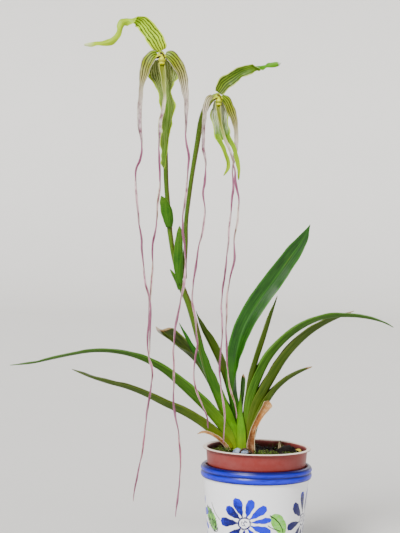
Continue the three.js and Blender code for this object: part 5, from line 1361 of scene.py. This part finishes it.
class ORCHID_OT_dried_sheaths(bpy.types.Operator):
    """Curls the two dried sheaths"""

    bl_idname = "orchid.dried_sheaths"
    bl_label = "Dried Sheaths"

    def execute(self, context):
        # Dead leaf tissue: tan paper with darker fibres and pale edges
        papery = blade_surface(
            "dried_papery_sheath", [(0.0, "#5c3c24"), (0.3, "#905c2c"), (0.7, "#ac7030"), (1.0, "#bc8848")],
            (18, "#5c2c14", 0.9), margin=(0.82, "#e4cca4", 0.85), mottle=(4, "#d8b484", 0.7),
            roughness=(0.7, 0.85), relief=0.25,
        )
        for number, (name, stations) in enumerate(DRY_SHEATHS.items()):
            form = waves(40 + number, height=1.4, ragged=2.5, margin=0.8)
            bm = blade(bmesh.new(), stations, 10, 1.8, keel=0.3, tip=0.6, form=form)
            piece(name + "_curled", bm, "dried_sheath", papery, replaces=[name], thickness=0.5 * MM)
        return {"FINISHED"}


def stem_surface(name, along, flush, speckle):
    """A flower stem's skin: smooth green, flushed on its right side and finely speckled, with a faint
    down"""
    material, add, point = surface(name, Sheen_Weight=0.08, Specular_IOR_Level=0.25)
    place = add("Attribute", attribute_name="place").outputs["Vector"]
    colour = add("ValToRGB", add("SeparateXYZ", place).outputs["X"], stops=along)
    sideways = add("SeparateXYZ", add("TexCoord").outputs["Normal"]).outputs["X"]
    lit = add("MapRange", sideways, 0.25, 0.95, 0, 0.7)
    colour = add("Mix RGBA", lit, colour, flush)
    grain = add("TexNoise", point, 1 / (1.1 * MM), 3.0)
    dots = add("MapRange", grain, 0.56, 0.68, 0, 0.25)
    colour = add("Mix RGBA", dots, colour, speckle)
    return connect(material, colour, (grain, 0.3, 0.7, 0.4, 0.55), grain, 0.08)


def joints(*places):
    """Skin of a stem with a low swelling at each joint: millimetres along, height as a share of the
    radius"""
    return lambda share, turn, run: sum(rise * math.exp(-(((run - at) / 2.4) ** 2)) for at, rise in places)


def ribbed(share, turn, run):
    """Skin of a flower stalk: a joint at its foot and, toward the flower, six low ribs"""
    return joints((2, 0.12))(share, turn, run) + 0.07 * smooth(share * 3 - 1.4) * math.sin(6 * turn)


class ORCHID_OT_flower_stem(bpy.types.Operator):
    """Grows the flower stem, the two flower stalks and the three bracts"""

    bl_idname = "orchid.flower_stem"
    bl_label = "Flower Stem"

    def execute(self, context):
        green = stem_surface(
            "downy_stem_skin", [(0.0, "#587400"), (0.4, "#405c00"), (0.75, "#446400"), (1.0, "#486804")],
            "#5c2c10", "#84983c",
        )
        pale = stem_surface(
            "downy_ovary_skin", [(0.0, "#3c5c00"), (0.35, "#3c5c00"), (0.8, "#445c00"), (1.0, "#98a828")],
            "#5c3810", "#88a43c",
        )
        scape = tube(bmesh.new(), SCAPE, 14, 3, joints((158, 0.16), (171, 0.2), (221, 0.12)))
        piece("scape_stem", scape, "flower_stem", green, replaces=["scape"])
        for name, stations in (("flower_stalk_a", PEDICEL_A), ("flower_stalk_b", PEDICEL_B)):
            piece(
                name + "_ovary", tube(bmesh.new(), stations, 14, 3, ribbed), "flower_stem", pale,
                replaces=[name],
            )

        # Bract skin: thick, pebbled and dull green, paler at its margins
        bract = blade_surface(
            "pebbled_bract_skin", [(0.0, "#205000"), (0.5, "#285c00"), (1.0, "#4c700c")],
            (14, "#588c14", 0.35), margin=(0.85, "#789c28", 0.6), mottle=(1.6, "#184400", 0.7),
            roughness=(0.5, 0.65), relief=0.3,
        )
        for number, (name, stations) in enumerate(BRACTS.items()):
            form = waves(60 + number, height=0.25, margin=0.2)
            bm = blade(bmesh.new(), stations, 8, 1.6, keel=0.55, form=form)
            piece(name + "_scale", bm, "bract", bract, replaces=[name], thickness=0.8 * MM)
        return {"FINISHED"}


def ribbon(seed, wave):
    """Form of a ribbon petal: waved margins on its broad foot, then a slack wandering tail"""

    def form(share, across, run, sheath):
        side = 1 if across > 0 else -1
        broad = 1 - smooth((run - 30) / 30)
        lift = wave * broad * math.sin(run / 1.9 + 1.4 * side) * across * across
        slack = 0.5 * (1 - broad) * swing(run / 15, seed, 0)
        wider = (0.4 * swing(run / 9, seed, side) + 0.15 * (1 - broad)) * abs(across) * side
        return 0, wider + slack, lift + slack

    return form


class ORCHID_OT_petals(bpy.types.Operator):
    """Grows the ribbon petals and lips of both flowers"""

    bl_idname = "orchid.petals"
    bl_label = "Ribbon Petals"

    def execute(self, context):
        tone = settings(context)
        tail = [(0.13, "#e4dac4"), (0.2, "#f4eae8"), (0.4, "#e8c8d0"), (0.6, "#dcacc0"), (1.0, "#c48498")]
        satin = {
            "reach": 330, "fade": (0.1, 0.17), "roughness": (0.35, 0.48), "relief": 0.12,
            "Sheen_Weight": 0.05,
        }
        # Inner face: satin, veined with olive at the flower, then cream, and blotched with rose on the ribbon
        face = blade_surface(
            "satin_petal_face", [(0.0, "#7c9c00"), (0.045, "#848c14"), (0.085, "#a8a068")] + tail,
            (9, "#802c54", 0.75), veins=(4.5, "#262400", 0.95, 0.2), margin=(0.88, "#dcd8b0", 0.6),
            mottle=(7, "#641c40", 0.9), **satin
        )
        # A lip's face is green at the flower, with a pale keel
        lip_face = blade_surface(
            "satin_lip_face", [(0.0, "#7c8400"), (0.06, "#748018"), (0.1, "#98a050")] + tail,
            (9, "#803058", 0.7), veins=(4, "#4c5000", 0.7, 0.1), margin=(0.6, "#c0c870", 0.6),
            mottle=(7, "#641c40", 0.9), **satin
        )
        # Outer face: olive at the flower, soon wine-mauve with pale margins
        back = blade_surface(
            "satin_petal_back",
            [
                (0.0, "#848418"), (0.07, "#8c7c50"), (0.14, "#906470"), (0.22, "#742850"), (0.5, "#641c40"),
                (1.0, "#5c1838"),
            ],
            (9, "#c08ca0", 0.5), margin=(0.82, "#e0bcc8", 0.85), mottle=(7, "#a86484", 0.5), **satin
        )
        for number, (name, stations) in enumerate(PETALS.items()):
            lip = name.endswith("lip")
            bm = blade(
                bmesh.new(), stations, 6, 1.7, tip=4, spin=tone.ribbon_spin,
                form=ribbon(number * 5.3, 0.3 if lip else 0.8),
                lead=26 if name == "flower_b_left_petal" else 0,
            )
            piece(
                name + "_ribbon", bm, "ribbon_petal", lip_face if lip else face, back, replaces=[name],
                thickness=tone.petal_thickness,
            )
        return {"FINISHED"}


class ORCHID_OT_sepals(bpy.types.Operator):
    """Grows the dorsal sepals and the fused lower sepals"""

    bl_idname = "orchid.sepals"
    bl_label = "Sepals"

    def execute(self, context):
        lime = [(0.0, "#b4c000"), (0.12, "#bce000"), (0.45, "#b8e400"), (0.8, "#a8e004"), (1.0, "#dfe6b0")]
        # Dorsal sepal A: yellow-green with dark lengthwise veins and a pale dotted margin
        dorsal_a = blade_surface(
            "veined_sepal_lime", lime, (16, "#8cb000", 0.4), veins=(5.5, "#1e3400", 0.9, 0.8),
            margin=(0.84, "#d4e438", 0.85), mottle=(4, "#94b40c", 0.3), relief=0.15,
        )
        reverse_a = blade_surface(
            "pale_sepal_reverse", [(0.0, "#8cac00"), (0.4, "#a4c400"), (0.9, "#b0cc04"), (0.97, "#dce8a8")],
            (14, "#68940c", 0.5), margin=(0.84, "#bce040", 0.5), relief=0.12,
        )
        # Dorsal sepal B: deeper green in shade, with the same pale margin
        dorsal_b = blade_surface(
            "veined_sepal_green",
            [(0.0, "#647400"), (0.3, "#446400"), (0.65, "#547c00"), (0.92, "#8cbc28"), (1.0, "#f0f2e4")],
            (16, "#74940c", 0.6), veins=(5.5, "#142400", 0.85, 0.8), margin=(0.8, "#c0d058", 0.85),
            mottle=(4, "#2c4c00", 0.4), relief=0.15,
        )
        reverse_b = blade_surface(
            "bright_sepal_reverse",
            [(0.0, "#588400"), (0.7, "#4c8c00"), (0.95, "#609800"), (0.98, "#f0f2e4")],
            (14, "#2c6800", 0.5), margin=(0.84, "#84c818", 0.5), relief=0.12,
        )
        # Fused lower sepals: grey-green with many fine pale veins and yellow-green margins
        lower_a = blade_surface(
            "veined_sepal_grey_green",
            [
                (0.0, "#646c00"), (0.1, "#505c0c"), (0.22, "#4c6020"), (0.38, "#4c7800"), (0.6, "#346000"),
                (1.0, "#447800"),
            ],
            (22, "#94a450", 0.6), veins=(13, "#b0bc74", 0.65, 0.5), margin=(0.8, "#b0d000", 0.95),
            mottle=(6, "#344800", 0.5), relief=0.15,
        )
        lower_b = blade_surface(
            "veined_sepal_pale_grey",
            [
                (0.0, "#707c08"), (0.18, "#7c8c4c"), (0.4, "#688428"), (0.6, "#588404"), (0.72, "#6c9400"),
                (1.0, "#98b800"),
            ],
            (20, "#ccd4b8", 0.6), veins=(11, "#d8dcc4", 0.6, 0.6), margin=(0.82, "#b4d818", 0.95),
            mottle=(5, "#4c6014", 0.5), fade=(0.7, 0.4), relief=0.15,
        )
        under = blade_surface(
            "downy_sepal_reverse", [(0.0, "#8c9a50"), (0.5, "#80a02c"), (1.0, "#98b82c")],
            (18, "#6c7c30", 0.4), relief=0.12, Sheen_Weight=0.2,
        )
        for letter, skins, form in (
            ("a", (dorsal_a, reverse_a), ruffles(1.1, 26, 1)),
            ("b", (dorsal_b, reverse_b), ruffles(0.9, 24, 2)),
        ):
            name = f"flower_{letter}_dorsal_sepal"
            bm = blade(bmesh.new(), DORSAL_SEPALS[name], 14, 1.3, tip=5, form=form)
            piece(
                name + "_blade", bm, "sepal_yellow_green", *skins, replaces=[name],
                thickness=SEPAL_THICKNESS * MM,
            )

        fused_a = blade(bmesh.new(), SYNSEPAL_A, 18, 1.3, tip=4, form=ruffles(1.1, 34, 1, start=0.36))
        fused_b = blade(bmesh.new(), SYNSEPAL_B, 14, 1.3, tip=1, form=ruffles(0.6, 20, 1.5), part=(0, 0.7))
        for tail in SYNSEPAL_B_TAILS:
            blade(fused_b, tail, 8, 1.3, tip=5, form=ruffles(0.5, 12, 1), part=(0.7, 1))
        for name, bm, skin in (
            ("flower_a_synsepal", fused_a, lower_a), ("flower_b_synsepal", fused_b, lower_b)
        ):
            piece(
                name + "_blade", bm, "sepal_grey_green", skin, under, replaces=[name],
                thickness=SEPAL_THICKNESS * MM,
            )
        return {"FINISHED"}


# Lobes of a column: offset and size. Columns: centre and scale.
COLUMN_LOBES = (
    ((0, 0, 1.6), (7.4, 4.4, 5.6)), ((0.8, -0.8, -2.4), (6.6, 4.2, 4.6)), ((-3.4, 0.2, 0), (3.6, 2.6, 3)),
    ((3.4, 0.2, 0.6), (2.8, 2.4, 3.4)), ((0.8, -0.4, -5), (5.4, 3.8, 3.2)),
)
COLUMNS = {"a": ((-95, -40.5, 455.6), 1), "b": ((-43.4, -36.3, 420.2), 0.9)}


def column_surface(name, centre, scale, body, shade, mark_tone):
    """Waxy column and staminode: yellow, with a painted highlight in the middle and near the foot and painted
    shade low down, two maroon marks and a spot over them
    """
    material, add, point = surface(name, Specular_IOR_Level=0.3)
    place = add("VectorMath SUBTRACT", point, Vector(centre) * MM)
    grain = add("TexNoise", point, 1 / (1.2 * MM), 3.0)
    height = add("SeparateXYZ", place).outputs["Z"]
    # Painted shade: the lower part is darker
    low = add("MapRange", height, 1.5 * MM, -4.5 * MM)
    colour = add("Mix RGBA", low, body, shade)
    # The pale yellow spots in the middle and near the foot are painted highlights; the rest are maroon marks
    for spot, size, turn, tone, amount in (
        ((0.5, 0, -0.6), (1.6, 9, 1.7), 0, "#dce400", 0.9),
        ((-0.1, 0, 3.4), (1.0, 9, 1.3), 0, mark_tone, 1.0),
        ((-2.6, 0, -0.4), (2.6, 9, 0.75), 24, mark_tone, 1.0),
        ((1.9, 0, 1.9), (0.75, 9, 2.0), 24, mark_tone, 0.95),
        ((3.3, 0, -0.6), (0.7, 9, 1.0), 0, mark_tone, 0.9),
        ((0.9, 0, -5.6), (2.6, 9, 1.0), 0, "#dce000", 0.95),
    ):
        near = add(
            "Mapping TEXTURE", place, Vector(spot) * MM * scale, (0, math.radians(-turn), 0),
            Vector(size) * MM * scale,
        )
        distance = add("VectorMath LENGTH", near)
        rough_edge = add("MULTIPLY_ADD", grain, 0.5, distance)
        mark = add("MapRange", rough_edge, 1.4, 1.2, 0, amount)
        colour = add("Mix RGBA", mark, colour, tone)
    return connect(material, colour, (grain, 0.3, 0.7, 0.32, 0.45), grain, 0.1)


class ORCHID_OT_columns(bpy.types.Operator):
    """Models the column and staminode of each flower as one fused body"""

    bl_idname = "orchid.columns"
    bl_label = "Columns"

    def execute(self, context):
        # Colours of each column: body, painted shade for the lower part, and marks
        colours = {"a": ("#c4cc00", "#a0a000", "#240408"), "b": ("#b4c000", "#7c8400", "#54440c")}
        for letter, (centre, scale) in COLUMNS.items():
            bm = bmesh.new()
            for number, (offset, size) in enumerate(COLUMN_LOBES):
                at = Vector(centre) + Vector(offset) * scale
                lump(bm, at, [value * scale for value in size], 0, 0.05, number)
            skin = column_surface("waxy_column_" + letter, centre, scale, *colours[letter])
            name = f"flower_{letter}_column"
            made = piece(name + "_staminode", bm, "column_yellow", skin, replaces=[name])
            fused = made.modifiers.new("Fused", "REMESH")
            fused.mode = "VOXEL"
            fused.voxel_size = 0.2 * MM
            fused.use_smooth_shade = True
            baked(made, context)
            if not made.data.materials:
                made.data.materials.append(skin)
        return {"FINISHED"}


class ORCHID_PT_panel(bpy.types.Panel):
    """Lists the tools and their settings"""

    bl_label = "Potted Orchid"
    bl_idname = "ORCHID_PT_panel"
    bl_space_type = "VIEW_3D"
    bl_region_type = "UI"
    bl_category = "Orchid"

    def draw(self, context):
        tone = settings(context)
        for name in OrchidSettings.__annotations__:
            self.layout.prop(tone, name)
        for tool in TOOLS:
            self.layout.operator(tool.bl_idname)


TOOLS = (
    ORCHID_OT_studio, ORCHID_OT_cachepot, ORCHID_OT_nursery_pot, ORCHID_OT_potting_mix, ORCHID_OT_leaves,
    ORCHID_OT_dried_sheaths, ORCHID_OT_flower_stem, ORCHID_OT_petals, ORCHID_OT_sepals, ORCHID_OT_columns,
)
CLASSES = (OrchidSettings, *TOOLS, ORCHID_PT_panel)


def register():
    for each in CLASSES:
        bpy.utils.register_class(each)
    bpy.types.Scene.potted_orchid = PointerProperty(type=OrchidSettings)


def unregister():
    del bpy.types.Scene.potted_orchid
    for each in reversed(CLASSES):
        bpy.utils.unregister_class(each)


def main():
    register()
    for tool in TOOLS:
        group, name = tool.bl_idname.split(".")
        getattr(getattr(bpy.ops, group), name)()


if __name__ == "__main__":
    main()
